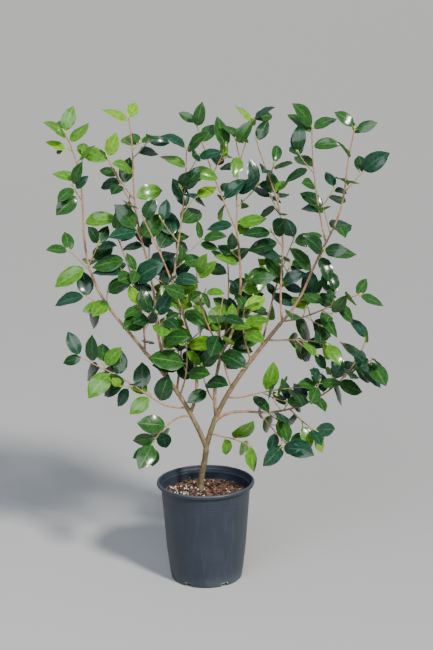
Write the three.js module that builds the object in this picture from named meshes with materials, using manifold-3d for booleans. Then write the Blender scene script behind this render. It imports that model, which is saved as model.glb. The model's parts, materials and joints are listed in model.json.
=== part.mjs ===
// Camellia shrub trained flat as a fan, in the round nursery pot that it is sold in.
// Millimetres, +Z up. The origin is the middle of the pot's flat underside and the front looks along -Y.

import * as THREE from 'three';
import { mergeVertices } from 'three/addons/utils/BufferGeometryUtils.js';
import Module from 'manifold-3d';

const wasm = await Module();
wasm.setup();

// Clearance between neighbouring pieces
const GAP = 0.3;

// The pot: a tapered wall with a rounded foot, a stout bead round the rim and six drain notches
const POT = {
  height: 285,
  rimRadius: 138,
  rimInner: 131,
  beadHeight: 11,
  neckRadius: 126,
  wall: 2.8,
  footRadius: 101,
  floor: 4,
  segments: 40,
  notches: 6,
  notchWidth: 18,
  notchHeight: 10,
};

// Half-widths of the wall's outside at a few heights, from foot to neck
const POT_WALL = [
  { z: 0, r: POT.footRadius - 4 },
  { z: 4, r: POT.footRadius },
  { z: 24, r: 104.5 },
  { z: 90, r: 112.6 },
  { z: 266, r: POT.neckRadius },
];

// The potting mix: its flat top lies a little under the rim and falls away towards the wall
const MIX = { top: 256, flatRadius: 56, edgeDrop: 17 };

// The stem's sizes: heading is the angle from upright towards +X at the base, bend is how far it has
// turned at the tip, sway, waves and phase lay a wave on the heading, lean is the angle towards the
// back at the base and lift how far that has turned at the tip. base and tip are half thicknesses.
const TRUNK = {
  x: -13, length: 129, heading: -4, bend: 7, sway: 12, lean: 2, lift: -2, base: 8.7, tip: 7.9, flare: 2.8,
};

// The boughs, each from a share of its parent's length
const BOUGHS = [
  { name: 'bough_left', parent: 'trunk', share: 1, length: 328,
    heading: -19, bend: -24, lean: -4, lift: 8, base: 7.2, tip: 5.2 },
  { name: 'bough_right', parent: 'trunk', share: 1, length: 424,
    heading: 13, bend: 25, sway: 8, lean: 5, lift: -10, base: 7.6, tip: 5 },
  { name: 'bough_centre', parent: 'bough_right', share: 0.22, length: 192,
    heading: -8, bend: 28, lean: -6, lift: 12, base: 5.2, tip: 4.3 },
  { name: 'bough_inner_left', parent: 'bough_left', share: 0.34, length: 240,
    heading: 26, bend: -38, sway: -12, lean: 8, lift: -10, base: 4.8, tip: 3.7 },
  { name: 'bough_third_left', parent: 'bough_left', share: 0.68, length: 230,
    heading: -16, bend: 14, lean: 6, lift: -8, base: 4.2, tip: 3.3 },
  { name: 'bough_low_right', parent: 'bough_right', share: 0.15, length: 128,
    heading: 24, bend: 72, sway: 12, lean: -8, lift: 4, base: 4.4, tip: 3.6 },
  { name: 'bough_low_left', parent: 'bough_left', share: 0.4, length: 66,
    heading: -94, bend: 26, lean: -8, lift: 4, base: 3.1, tip: 2.6 },
  { name: 'bough_drop_left', parent: 'bough_left', share: 0.31, length: 44,
    heading: -78, bend: -34, lean: -14, lift: 6, base: 2.8, tip: 2.4 },
  { name: 'bough_low_twig_right', parent: 'bough_right', share: 0.37, length: 52,
    heading: 100, bend: -24, lean: -10, lift: 6, base: 2.8, tip: 2.3 },
  { name: 'bough_mid_left', parent: 'bough_left', share: 0.82, length: 42,
    heading: 12, bend: 6, lean: -24, lift: 6, base: 3, tip: 2.6 },
  { name: 'bough_low_mid', parent: 'bough_left', share: 0.52, length: 40,
    heading: 22, bend: -6, lean: -26, lift: 8, base: 3, tip: 2.5 },
  { name: 'bough_low_centre', parent: 'bough_centre', share: 0.22, length: 34,
    heading: -32, bend: 6, lean: -20, lift: 6, base: 2.8, tip: 2.4 },
  { name: 'bough_low_back', parent: 'bough_right', share: 0.44, length: 42,
    heading: -22, bend: 4, lean: 22, lift: -6, base: 2.9, tip: 2.5 },
  { name: 'bough_low_front', parent: 'bough_right', share: 0.1, length: 36,
    heading: 92, bend: 8, lean: -40, lift: 14, base: 2.8, tip: 2.4 },
  { name: 'bough_mid_right', parent: 'bough_right', share: 0.66, length: 48,
    heading: -8, bend: -10, lean: -22, lift: 4, base: 3.1, tip: 2.6 },
  { name: 'bough_right_outer', parent: 'bough_right', share: 0.84, length: 44,
    heading: 92, bend: -6, lean: -14, lift: 6, base: 2.8, tip: 2.4 },
  { name: 'bough_back_left', parent: 'bough_left', share: 0.56, length: 74,
    heading: 4, bend: 10, lean: 38, lift: -8, base: 3.4, tip: 2.8 },
  { name: 'bough_back_centre', parent: 'bough_centre', share: 0.5, length: 70,
    heading: 10, bend: 8, lean: 40, lift: -10, base: 3.2, tip: 2.7 },
  { name: 'bough_back_right', parent: 'bough_right', share: 0.78, length: 72,
    heading: 14, bend: 4, lean: 38, lift: -8, base: 3.2, tip: 2.7 },
  { name: 'bough_front_centre', parent: 'bough_centre', share: 0.7, length: 52,
    heading: 14, bend: -8, lean: -40, lift: 10, base: 3, tip: 2.6 },
];

// The masses of foliage. Each grows from its bough's tip by one stem, and its leaders, if any, rise
// from a share of that stem. every is how far apart the side twigs stand and reach how long they are.
const MASSES = [
  { name: 'mass_left_leader', bough: 'bough_left', length: 657,
    heading: -23, bend: 9, sway: 17, waves: 1, phase: -0.38, lean: 3, lift: -4, base: 4.6, tip: 1.7,
    bare: 70, every: 150, reach: 62, gap: 110,
    leaders: [{ share: 0.41, length: 84, heading: -40, bend: -6, lean: -6, base: 2, tip: 1.4 }] },
  { name: 'mass_left_second', bough: 'bough_left', length: 350,
    heading: 4, bend: -24, sway: -6, lean: -5, lift: 6, base: 3.2, tip: 1.6,
    bare: 30, every: 112, reach: 58 },
  { name: 'mass_third_left', bough: 'bough_third_left', length: 500,
    heading: -4, bend: -6, sway: -8, waves: 1, lean: 3, lift: 0, base: 3.3, tip: 1.6,
    bare: 20, every: 104, reach: 64, gap: 64,
    leaders: [{ share: 0.5, length: 165, heading: -30, bend: 8, lean: -6, base: 2.1, tip: 1.5 }] },
  { name: 'mass_inner_left', bough: 'bough_inner_left', length: 350,
    heading: -14, bend: -12, lean: -9, lift: 6, base: 3.6, tip: 1.6,
    bare: 10, every: 78, reach: 74, gap: 74,
    leaders: [
      { share: 0.4, length: 374, heading: 8, bend: -8, sway: 4, lean: 4, lift: -6, base: 2.7, tip: 1.5 },
    ] },
  { name: 'mass_young_centre', bough: 'bough_centre', length: 240,
    heading: -34, bend: 34, lean: -10, lift: 6, base: 2.7, tip: 1.6,
    bare: 30, every: 76, reach: 58 },
  { name: 'mass_centre_leader', bough: 'bough_centre', length: 347,
    heading: 32, bend: -40, sway: -8, waves: 0.5, lean: 6, lift: -8, base: 4.2, tip: 3,
    bare: 20, every: 100, reach: 74, gap: 76,
    leaders: [
      { share: 1, length: 310, heading: -24, bend: 8, lean: -3, base: 2.4, tip: 1.5 },
      { share: 1, length: 309, heading: 4, bend: 10, sway: -7, waves: 1, lean: 5, base: 2.4, tip: 1.5 },
    ] },
  { name: 'mass_third_right', bough: 'bough_right', length: 512,
    heading: -4, bend: -8, sway: 10, waves: 1, phase: -0.05, lean: 5, lift: -6, base: 3.4, tip: 1.6,
    bare: 40, every: 102, reach: 64, gap: 62 },
  { name: 'mass_right_leader', bough: 'bough_right', length: 570,
    heading: 36, bend: -32, sway: 6, waves: 2, phase: 0.3, lean: -4, lift: 6, base: 4, tip: 1.6,
    bare: 30, every: 104, reach: 68, gap: 62,
    leaders: [{ share: 0.44, length: 312, heading: -14, bend: 14, lean: 4, base: 2.3, tip: 1.5 }] },
  { name: 'mass_right_side', bough: 'bough_right', length: 225,
    heading: 82, bend: -14, sway: -10, waves: 0.5, lean: -12, lift: 6, base: 2.7, tip: 1.6,
    bare: 30, every: 76, reach: 60, gap: 40 },
  { name: 'mass_low_right', bough: 'bough_low_right', length: 410,
    heading: 97, bend: -80, lean: 2, lift: -4, base: 3.4, tip: 1.6,
    bare: 10, every: 92, reach: 60, gap: 46,
    leaders: [
      { share: 0.05, length: 122, heading: 142, bend: -8, lean: -14, base: 2.2, tip: 1.5 },
      { share: 0.26, length: 96, heading: 138, bend: -14, lean: -6, base: 2.1, tip: 1.5 },
    ] },
  { name: 'mass_low_left', bough: 'bough_low_left', length: 270,
    heading: -60, bend: 4, sway: 6, waves: 1, lean: -4, lift: 6, base: 2.5, tip: 1.5,
    bare: 8, every: 400, reach: 50, gap: 27 },
  { name: 'mass_drop_left', bough: 'bough_drop_left', length: 112,
    heading: -120, bend: -36, lean: -6, base: 2.3, tip: 1.5,
    bare: 4, every: 300, reach: 40, gap: 24 },
  { name: 'mass_low_twig_right', bough: 'bough_low_twig_right', length: 165,
    heading: 74, bend: 12, lean: -4, base: 2.2, tip: 1.5,
    bare: 20, every: 88, reach: 52, gap: 34 },
  { name: 'mass_mid_left', bough: 'bough_mid_left', length: 130,
    heading: 8, bend: -26, lean: -18, lift: 14, base: 2.5, tip: 1.5,
    bare: 14, every: 64, reach: 56, gap: 40 },
  { name: 'mass_low_mid', bough: 'bough_low_mid', length: 112,
    heading: 16, bend: -22, lean: -10, lift: 10, base: 2.4, tip: 1.5,
    bare: 6, every: 62, reach: 50, gap: 26 },
  { name: 'mass_low_centre', bough: 'bough_low_centre', length: 92,
    heading: -22, bend: 20, lean: -16, lift: 10, base: 2.3, tip: 1.5,
    bare: 6, every: 62, reach: 48, gap: 24 },
  { name: 'mass_low_back', bough: 'bough_low_back', length: 130,
    heading: -16, bend: 16, lean: 16, lift: -14, base: 2.4, tip: 1.5,
    bare: 8, every: 70, reach: 54, gap: 34 },
  { name: 'mass_low_front', bough: 'bough_low_front', length: 96,
    heading: 96, bend: 24, lean: -10, lift: 4, base: 2.3, tip: 1.5,
    bare: 6, every: 200, reach: 40, gap: 24 },
  { name: 'mass_mid_right', bough: 'bough_mid_right', length: 120,
    heading: -18, bend: 30, lean: -18, lift: 14, base: 2.5, tip: 1.5,
    bare: 10, every: 60, reach: 58, gap: 34 },
  { name: 'mass_right_outer', bough: 'bough_right_outer', length: 118,
    heading: 84, bend: 22, lean: -6, lift: 4, base: 2.3, tip: 1.5,
    bare: 6, every: 76, reach: 52, gap: 26 },
  { name: 'mass_back_left', bough: 'bough_back_left', length: 270,
    heading: 4, bend: -14, lean: 26, lift: -22, base: 2.7, tip: 1.5,
    bare: 20, every: 82, reach: 66, gap: 80 },
  { name: 'mass_back_centre', bough: 'bough_back_centre', length: 290,
    heading: 14, bend: -18, lean: 24, lift: -18, base: 2.6, tip: 1.5,
    bare: 20, every: 82, reach: 66 },
  { name: 'mass_back_right', bough: 'bough_back_right', length: 250,
    heading: 14, bend: 10, lean: 26, lift: -20, base: 2.6, tip: 1.5,
    bare: 20, every: 82, reach: 66 },
  { name: 'mass_front_centre', bough: 'bough_front_centre', length: 190,
    heading: -6, bend: 18, lean: -26, lift: 24, base: 2.5, tip: 1.5,
    bare: 14, every: 70, reach: 60 },
];

// How twigs and leaves stand: angles in degrees, open is the angle between a leaf and its stem, flat is how
// far it keeps to the fan's plane, and test is the half thickness of the air that it keeps round itself
const TWIG = { radius: 1.7, tip: 1.35, spread: 48, flat: 0.8, rise: 0.3, bare: 16 };
const LEAF = {
  length: 77, spread: 0.3, width: 0.6, gap: 56, open: 60, tipOpen: 40, flat: 0.5, droop: 0.16, thick: 2.2,
  curl: 0.1, test: 5, tries: 7, turn: 50,
};
// The light that the leaves turn their faces to
const LIGHT = new THREE.Vector3(0.25, -0.85, 0.45).normalize();
const LIGHT_PULL = 2.4;
// The space that the crown keeps to
const SPACE = { left: -432, right: 492, front: -210, back: 210, bottom: 292, top: 1342 };
// The step along a limb's path
const STEP = 10;
// The air that limbs and twigs keep round themselves
const CLEAR = 3.5;
// The turn in degrees from one leaf or twig to the next
const GOLDEN = 137.5;
// Twigs are numbered from here on, after the stems
const FIRST_TWIG = 40;

const COLOURS = { pot: 0x343b44, mix: 0x4a3a2f, trunk: 0x8a7c54, bough: 0xa58a62, mass: 0x2f6b34 };

const radians = THREE.MathUtils.degToRad;

// A repeatable number from 0 to 1 for a set of whole numbers
function chance(...keys) {
  let h = 0x2545f491;
  for (const key of keys) {
    h = Math.imul(h ^ (key + 0x1f123bb5), 0x85ebca6b);
    h ^= h >>> 13;
    h = Math.imul(h, 0xc2b2ae35);
    h ^= h >>> 16;
  }
  return (h >>> 0) / 4294967296;
}

// The path of a limb from its named sizes: points every STEP along a heading that bends and sways
function limbPath(start, limb) {
  const { length, heading, bend = 0, sway = 0, waves = 0.5, phase = 0, lean = 0, lift = 0 } = limb;
  const count = Math.max(2, Math.round(length / STEP));
  const points = [start.clone()];
  for (let i = 0; i < count; i++) {
    const s = (i + 0.5) / count;
    const turn = radians(heading + bend * s + sway * Math.sin(2 * Math.PI * (waves * s + phase)));
    const back = radians(lean + lift * s);
    const flat = Math.cos(back);
    const way = new THREE.Vector3(Math.sin(turn) * flat, Math.sin(back), Math.cos(turn) * flat);
    points.push(points[i].clone().addScaledVector(way, length / count));
  }
  return points;
}

// The path of a twig: it leaves its stem along way and rises towards the light as it goes
function twigPath(start, way, length) {
  const count = Math.max(2, Math.round(length / STEP));
  const points = [start.clone()];
  const now = way.clone();
  for (let i = 0; i < count; i++) {
    now.z += TWIG.rise / count;
    now.normalize();
    points.push(points[i].clone().addScaledVector(now, length / count));
  }
  return points;
}

// Place and direction at a share of a path's length
function along(points, share) {
  const last = points.length - 1;
  const at = Math.min(Math.max(share, 0), 1) * last;
  const i = Math.min(Math.floor(at), last - 1);
  const way = points[i + 1].clone().sub(points[i]).normalize();
  return { point: points[i].clone().lerp(points[i + 1], at - i), way };
}

// Two directions square to way and to each other
function sides(way) {
  const axis = Math.abs(way.y) < 0.9 ? new THREE.Vector3(0, 1, 0) : new THREE.Vector3(1, 0, 0);
  const across = new THREE.Vector3().crossVectors(way, axis).normalize();
  return { across, over: new THREE.Vector3().crossVectors(across, way).normalize() };
}

// Growth

const limbs = new Map();
const balls = [];
let owners = 0;

function nextOwner() {
  owners += 1;
  return owners;
}

// Marks a limb's path as taken, with balls of its half thickness and some air round it
function claimPath(points, base, tip, owner, mass = -1) {
  points.forEach((point, i) => {
    const radius = base + (tip - base) * (i / (points.length - 1)) + CLEAR;
    balls.push({ point, radius, owner, at: i, mass });
  });
}

function growLimb(limb) {
  const parent = limbs.get(limb.parent);
  const start = parent ? along(parent.points, limb.share).point : new THREE.Vector3(limb.x, 0, MIX.top - 3);
  const points = limbPath(start, limb);
  limbs.set(limb.name, { ...limb, points });
  claimPath(points, limb.base, limb.tip, nextOwner());
}

// The points of a leaf that have to stand clear, and its frame
function leafFrame(root, way, face, length) {
  const across = new THREE.Vector3().crossVectors(way, face).normalize();
  const place = (u, w) => root.clone()
    .addScaledVector(way, u * length)
    .addScaledVector(across, w * length * LEAF.width)
    .addScaledVector(face, -LEAF.curl * length * u * u);
  return { root, way, face, across, length, place };
}

const LEAF_FOOT = [[0.04, 0], [0.1, 0]];
const LEAF_TESTS = [
  [0.16, 0], [0.29, -0.2], [0.29, 0.2], [0.38, -0.43], [0.38, 0], [0.38, 0.43], [0.53, -0.23], [0.53, 0.23],
  [0.6, -0.42], [0.6, 0.42], [0.68, 0], [0.76, -0.26], [0.76, 0.26], [0.86, 0], [1, 0],
];

// Rows of a leaf's solid: place along it and half width as a share of its width. The keel is deepest at
// the first wide row and runs from there straight to both ends.
const LEAF_ROWS = [
  { u: -0.01, half: 0 },
  { u: 0.38, half: 0.5 },
  { u: 0.74, half: 0.35 },
  { u: 1, half: 0 },
];
const KEEL_ROW = 1;

function inSpace(p) {
  return p.x > SPACE.left && p.x < SPACE.right && p.y > SPACE.front && p.y < SPACE.back
    && p.z > SPACE.bottom && p.z < SPACE.top;
}

function isClear(points, radius, skip) {
  return points.every((p) => inSpace(p) && balls.every((ball) => {
    if (skip(ball)) return true;
    return ball.point.distanceTo(p) > ball.radius + radius;
  }));
}

// Side twigs of one stem: they stand a set distance apart, turned on by the golden angle, and a twig
// that would touch another limb turns on or is left out
function growTwigs(mass, stem, twigs) {
  const count = Math.floor((stem.length - mass.bare - 30) / mass.every);
  for (let i = 0; i < count; i++) {
    const keys = [mass.id, stem.id, i];
    const share = (mass.bare + mass.every * (i + 0.35 + 0.4 * chance(...keys, 1))) / stem.length;
    const { point, way } = along(stem.points, share);
    const { across, over } = sides(way);
    const length = mass.reach * (0.65 + 0.7 * chance(...keys, 2)) * (1.1 - 0.3 * share);
    const spread = radians(TWIG.spread + 14 * (chance(...keys, 3) - 0.5));
    const first = GOLDEN * i + 90 * chance(...keys, 4) + 180 * chance(mass.id, stem.id, 77);
    for (let t = 0; t < LEAF.tries; t++) {
      const roll = radians(first + LEAF.turn * t);
      const out = across.clone().multiplyScalar(Math.cos(roll)).addScaledVector(over, Math.sin(roll));
      out.y *= TWIG.flat;
      out.normalize();
      const start = way.clone().multiplyScalar(Math.cos(spread)).addScaledVector(out, Math.sin(spread));
      start.normalize();
      const points = twigPath(point, start, length);
      if (isClear(points.slice(2), 5, (ball) => ball.owner === stem.owner)) {
        const owner = nextOwner();
        const id = FIRST_TWIG + twigs.length;
        twigs.push({ points, length, base: TWIG.radius, tip: TWIG.tip, id, owner, bare: TWIG.bare });
        claimPath(points, TWIG.radius, TWIG.tip, owner, mass.id);
        break;
      }
    }
  }
}

// Leaves of one stem or twig: one every gap along it and three close together at its tip
function growLeaves(mass, stem, leaves) {
  const gap = mass.gap ?? LEAF.gap;
  const places = [];
  let at = stem.bare + 4;
  while (at < stem.length - 30) {
    places.push(at);
    at += gap * (0.85 + 0.3 * chance(mass.id, stem.id, places.length, 5));
  }
  const tips = chance(mass.id, stem.id, 66) < 0.5 ? [16, 7, 1] : [10, 1];
  places.push(...tips.map((back) => stem.length - back));
  places.forEach((place, i) => {
    const keys = [mass.id, stem.id, i];
    const share = place / stem.length;
    const { point, way } = along(stem.points, share);
    const { across, over } = sides(way);
    const isTip = i >= places.length - tips.length;
    const open = radians((isTip ? LEAF.tipOpen : LEAF.open) + 18 * (chance(...keys, 6) - 0.5));
    const size = LEAF.length * (1 + LEAF.spread * (chance(...keys, 7) - 0.5)) * (isTip ? 0.88 : 1);
    const first = GOLDEN * i + 70 * chance(...keys, 8) + 360 * chance(mass.id, stem.id, 99);
    const nod = LEAF.droop * (0.3 + 1.4 * chance(...keys, 9));
    const tilt = 0.5 * (chance(...keys, 10) - 0.5);
    for (let t = 0; t < LEAF.tries; t++) {
      const roll = radians(first + LEAF.turn * t);
      const out = across.clone().multiplyScalar(Math.cos(roll)).addScaledVector(over, Math.sin(roll));
      out.y *= LEAF.flat;
      out.normalize();
      const ahead = way.clone().multiplyScalar(Math.cos(open)).addScaledVector(out, Math.sin(open));
      ahead.z -= nod;
      ahead.normalize();
      const face = way.clone().addScaledVector(LIGHT, LIGHT_PULL).addScaledVector(across, tilt);
      face.addScaledVector(ahead, -face.dot(ahead)).normalize();
      const leaf = leafFrame(point, ahead, face, size);
      const tests = LEAF_TESTS.map(([u, w]) => leaf.place(u, w));
      const foot = LEAF_FOOT.map(([u, w]) => leaf.place(u, w));
      const isOwn = (ball) => ball.owner === stem.owner && Math.abs(ball.at * STEP - place) < 40;
      if (isClear(tests, LEAF.test, (ball) => isOwn(ball) || (ball.isFoot && ball.mass === mass.id))
        && isClear(foot, LEAF.test, (ball) => ball.mass === mass.id)) {
        const taken = { radius: LEAF.test, owner: nextOwner(), at: 0, mass: mass.id };
        tests.forEach((p) => balls.push({ ...taken, point: p }));
        foot.forEach((p) => balls.push({ ...taken, point: p, isFoot: true }));
        leaves.push(leaf);
        break;
      }
    }
  });
}

// Solids

function toSolid(geometry) {
  geometry.deleteAttribute('normal');
  geometry.deleteAttribute('uv');
  const merged = mergeVertices(geometry, 1e-4);
  const corners = merged.index.array;
  const triVerts = [];
  for (let i = 0; i < corners.length; i += 3) {
    const [a, b, c] = corners.slice(i, i + 3);
    if (a !== b && b !== c && c !== a) triVerts.push(a, b, c);
  }
  return new wasm.Manifold(new wasm.Mesh({
    numProp: 3,
    vertProperties: new Float32Array(merged.attributes.position.array),
    triVerts: new Uint32Array(triVerts),
  }));
}

// A tapered round bar bent along a path, grown by extra all round and past both ends
function bar(points, base, tip, sidesCount, rings, extra = 0, flare = 0) {
  const geometry = new THREE.CylinderGeometry(1, 1, 1, sidesCount, rings);
  const position = geometry.attributes.position;
  for (let i = 0; i < position.count; i++) {
    const share = position.getY(i) + 0.5;
    const { point, way } = along(points, share);
    const { across, over } = sides(way);
    const radius = base + (tip - base) * share + extra + flare * Math.max(0, 1 - share * 8) ** 2;
    point.addScaledVector(across, position.getX(i) * radius);
    point.addScaledVector(over, position.getZ(i) * radius);
    if (share > 0.999) point.addScaledVector(way, extra);
    if (share < 0.001) point.addScaledVector(way, -extra);
    position.setXYZ(i, point.x, point.y, point.z);
  }
  return toSolid(geometry);
}

// A leaf from a three-sided spindle: flat above, keeled below and drawn to a point at both ends
function leafSolid(leaf) {
  const geometry = new THREE.CylinderGeometry(1e-6, 1e-6, 1, 3, LEAF_ROWS.length - 1);
  const position = geometry.attributes.position;
  for (let i = 0; i < position.count; i++) {
    const row = Math.round((position.getY(i) + 0.5) * (LEAF_ROWS.length - 1));
    const side = Math.round(position.getX(i) * 1.2e6);
    const isKeel = side === 0 && LEAF_ROWS[row].half > 0;
    const { u, half } = LEAF_ROWS[isKeel ? KEEL_ROW : row];
    const point = leaf.place(u, -side * half);
    if (isKeel) point.addScaledVector(leaf.face, -LEAF.thick);
    position.setXYZ(i, point.x, point.y, point.z);
  }
  return toSolid(geometry);
}

// The largest closed body of a solid, without loose scraps
function largest(solid) {
  return solid.decompose().reduce((best, body) => (body.volume() > best.volume() ? body : best));
}

function toMesh(name, solid, colour, roughness) {
  const { vertProperties, triVerts, numProp } = solid.getMesh();
  const position = new Float32Array((vertProperties.length / numProp) * 3);
  for (let i = 0; i < position.length / 3; i++) {
    for (let k = 0; k < 3; k++) position[3 * i + k] = vertProperties[numProp * i + k];
  }
  const geometry = new THREE.BufferGeometry();
  geometry.setAttribute('position', new THREE.BufferAttribute(position, 3));
  geometry.setIndex(new THREE.BufferAttribute(new Uint32Array(triVerts), 1));
  geometry.computeVertexNormals();
  const material = new THREE.MeshStandardMaterial({ color: colour, roughness, metalness: 0 });
  const mesh = new THREE.Mesh(geometry, material);
  mesh.name = name;
  return mesh;
}

// A turned body about +Z from half-widths and heights
function turned(profile, segments) {
  const geometry = new THREE.LatheGeometry(profile.map(({ r, z }) => new THREE.Vector2(r, z)), segments);
  geometry.rotateX(Math.PI / 2);
  return toSolid(geometry);
}

// Half-width of the pot's outside at a height
function potRadius(z) {
  const i = Math.max(1, POT_WALL.findIndex((ring) => ring.z >= z));
  const [low, high] = [POT_WALL[i - 1], POT_WALL[i]];
  return low.r + (high.r - low.r) * ((z - low.z) / (high.z - low.z));
}

function makePot() {
  const beadFoot = POT.height - POT.beadHeight;
  const outside = [
    ...POT_WALL,
    { z: beadFoot, r: POT.neckRadius + 1.5 },
    { z: beadFoot + 1, r: POT.rimRadius - 1.5 },
    { z: beadFoot + 3, r: POT.rimRadius },
    { z: POT.height - 3, r: POT.rimRadius },
    { z: POT.height, r: POT.rimRadius - 3 },
    { z: POT.height, r: POT.rimInner },
  ];
  const inside = POT_WALL.slice(1).reverse()
    .map(({ z, r }) => ({ z: Math.max(z, POT.floor), r: r - POT.wall }));
  const profile = [{ z: 0, r: 0 }, ...outside, ...inside, { z: POT.floor, r: 0 }];
  let pot = turned(profile, POT.segments);
  for (let i = 0; i < POT.notches; i++) {
    const box = new THREE.BoxGeometry(POT.notchWidth, 14, 2 * POT.notchHeight);
    box.translate(0, -POT.footRadius, 0);
    box.rotateZ(radians(30 + (360 / POT.notches) * i));
    pot = pot.subtract(toSolid(box));
  }
  return pot;
}

function makeMix() {
  const edge = MIX.top - MIX.edgeDrop;
  const floor = POT.floor + GAP;
  const inside = POT_WALL.filter(({ z }) => z > floor && z < edge)
    .map(({ z, r }) => ({ z, r: r - POT.wall - GAP }));
  return turned([
    { z: floor, r: 0 },
    { z: floor, r: potRadius(floor) - POT.wall - 5 },
    ...inside,
    { z: edge, r: potRadius(edge) - POT.wall - GAP },
    { z: MIX.top, r: MIX.flatRadius },
    { z: MIX.top, r: 0 },
  ], POT.segments);
}

// The whole crown's skeleton is grown first, then its twigs and last its leaves

growLimb({ name: 'trunk', ...TRUNK });
BOUGHS.forEach(growLimb);

const masses = MASSES.map((mass, index) => {
  const bough = limbs.get(mass.bough);
  const main = { ...mass, id: 0, points: limbPath(bough.points.at(-1), mass), owner: nextOwner() };
  claimPath(main.points, main.base, main.tip, main.owner, index);
  const leaders = (mass.leaders ?? []).map((leader, i) => {
    const points = limbPath(along(main.points, leader.share).point, leader);
    const owner = nextOwner();
    claimPath(points, leader.base, leader.tip, owner, index);
    return { ...leader, id: 1 + i, points, owner, bare: 12 };
  });
  return { ...mass, id: index, stems: [main, ...leaders], twigs: [], foliage: [] };
});
masses.forEach((mass) => mass.stems.forEach((stem) => growTwigs(mass, stem, mass.twigs)));
masses.forEach((mass) => {
  [...mass.stems, ...mass.twigs].forEach((stem) => growLeaves(mass, stem, mass.foliage));
});

// A limb's own bar, or the space round it that its neighbours keep out of
function limbBar(limb, sidesCount, ringLength, extra = 0) {
  const rings = Math.max(2, Math.round(limb.length / ringLength));
  return bar(limb.points, limb.base, limb.tip, sidesCount, rings, extra, limb.flare);
}

// How many sides a limb's bar has and how far apart its rings are
function limbFacets(limb) {
  if (limb.name === 'trunk') return [12, 24];
  return limb.length > 100 ? [7, 45] : [6, 45];
}

// Trunk and boughs in the order they fork: each is cut clear of those before it, and the trunk is cut
// flat and level just above the potting mix
function makeLimbs() {
  const ground = new THREE.BoxGeometry(200, 200, 40);
  ground.translate(0, 0, MIX.top + GAP - 20);
  const taken = [toSolid(ground)];
  return [...limbs.values()].map((limb) => {
    const [count, ring] = limbFacets(limb);
    const solid = taken.reduce((rest, other) => rest.subtract(other), limbBar(limb, count, ring));
    taken.push(limbBar(limb, count, ring, GAP));
    return { name: limb.name, solid: largest(solid), isTrunk: limb.name === 'trunk' };
  });
}

// One mass: its stems, twigs and leaves joined, and its foot cut clear of the bough and of the masses
// that share the bough's tip
function makeMass(mass) {
  const parts = [
    ...mass.stems.map((stem, i) => limbBar(stem, i ? 3 : 4, 68)),
    ...mass.twigs.map((twig) => limbBar(twig, 3, 60)),
    ...mass.foliage.map(leafSolid),
  ];
  const joined = parts.reduce((whole, part) => whole.add(part));
  const elders = masses.filter((other) => other.bough === mass.bough && other.id < mass.id);
  const taken = [
    limbBar(limbs.get(mass.bough), ...limbFacets(limbs.get(mass.bough)), GAP),
    ...elders.flatMap((other) => other.stems.map((stem, i) => limbBar(stem, i ? 3 : 4, 68, GAP))),
  ];
  return largest(taken.reduce((rest, other) => rest.subtract(other), joined)).simplify(0.2);
}

const shrub = new THREE.Group();
shrub.add(toMesh('pot', makePot(), COLOURS.pot, 0.55));
shrub.add(toMesh('potting_mix', makeMix(), COLOURS.mix, 0.95));
for (const { name, solid, isTrunk } of makeLimbs()) {
  shrub.add(toMesh(name, solid, isTrunk ? COLOURS.trunk : COLOURS.bough, 0.8));
}
for (const mass of masses) shrub.add(toMesh(mass.name, makeMass(mass), COLOURS.mass, 0.4));

export default shrub;
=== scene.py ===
"""Looks of a fan trained camellia shrub in its nursery pot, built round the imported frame.

The crown grows by the same seeded rule as the part's source: limbs follow headings that bend and sway,
twigs stand off them by the golden angle, and leaves turn their faces to the light. Here the rule goes on
to finer twigs and to leaves of their real size. All sizes are in millimetres until a mesh is made.
"""

import json
import logging
import math
from dataclasses import dataclass, field, replace
from enum import Enum, IntEnum
from functools import partial, partialmethod
from typing import Callable, Iterator, Optional, Sequence, Union

import bpy
import numpy as np
from mathutils import Matrix, Vector

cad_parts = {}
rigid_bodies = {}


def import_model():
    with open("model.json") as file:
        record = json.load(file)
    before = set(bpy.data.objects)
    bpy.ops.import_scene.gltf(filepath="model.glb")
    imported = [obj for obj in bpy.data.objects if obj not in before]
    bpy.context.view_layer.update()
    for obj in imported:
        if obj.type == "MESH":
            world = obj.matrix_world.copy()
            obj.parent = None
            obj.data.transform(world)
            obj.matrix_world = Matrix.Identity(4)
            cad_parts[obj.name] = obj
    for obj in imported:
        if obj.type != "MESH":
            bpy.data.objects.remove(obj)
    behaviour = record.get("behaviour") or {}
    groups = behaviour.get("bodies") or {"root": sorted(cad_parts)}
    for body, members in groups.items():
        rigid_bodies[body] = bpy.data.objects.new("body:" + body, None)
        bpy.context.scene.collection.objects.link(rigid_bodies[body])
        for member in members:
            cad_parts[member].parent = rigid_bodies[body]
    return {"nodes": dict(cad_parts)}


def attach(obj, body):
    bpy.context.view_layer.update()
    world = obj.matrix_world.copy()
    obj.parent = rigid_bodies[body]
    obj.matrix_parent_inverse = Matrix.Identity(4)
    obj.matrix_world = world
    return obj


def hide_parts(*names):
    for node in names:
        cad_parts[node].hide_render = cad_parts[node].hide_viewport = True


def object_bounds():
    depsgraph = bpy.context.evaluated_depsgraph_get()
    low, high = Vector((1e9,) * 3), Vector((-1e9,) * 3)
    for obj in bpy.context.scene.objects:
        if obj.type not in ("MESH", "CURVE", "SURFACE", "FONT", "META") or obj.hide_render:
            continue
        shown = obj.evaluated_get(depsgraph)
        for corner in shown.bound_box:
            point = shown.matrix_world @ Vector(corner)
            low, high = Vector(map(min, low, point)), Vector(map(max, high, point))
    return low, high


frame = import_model()
CAD_BOX = [list(corner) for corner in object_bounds()]

logging.basicConfig(level=logging.INFO, format="%(message)s")
LOG = logging.getLogger("camellia")

Array = np.ndarray
Pair = tuple[float, float]
Point = tuple[float, float, float]
Colour = tuple[float, float, float]
Profile = tuple[Pair, ...]
Source = Union["Value", float, tuple]

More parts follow.
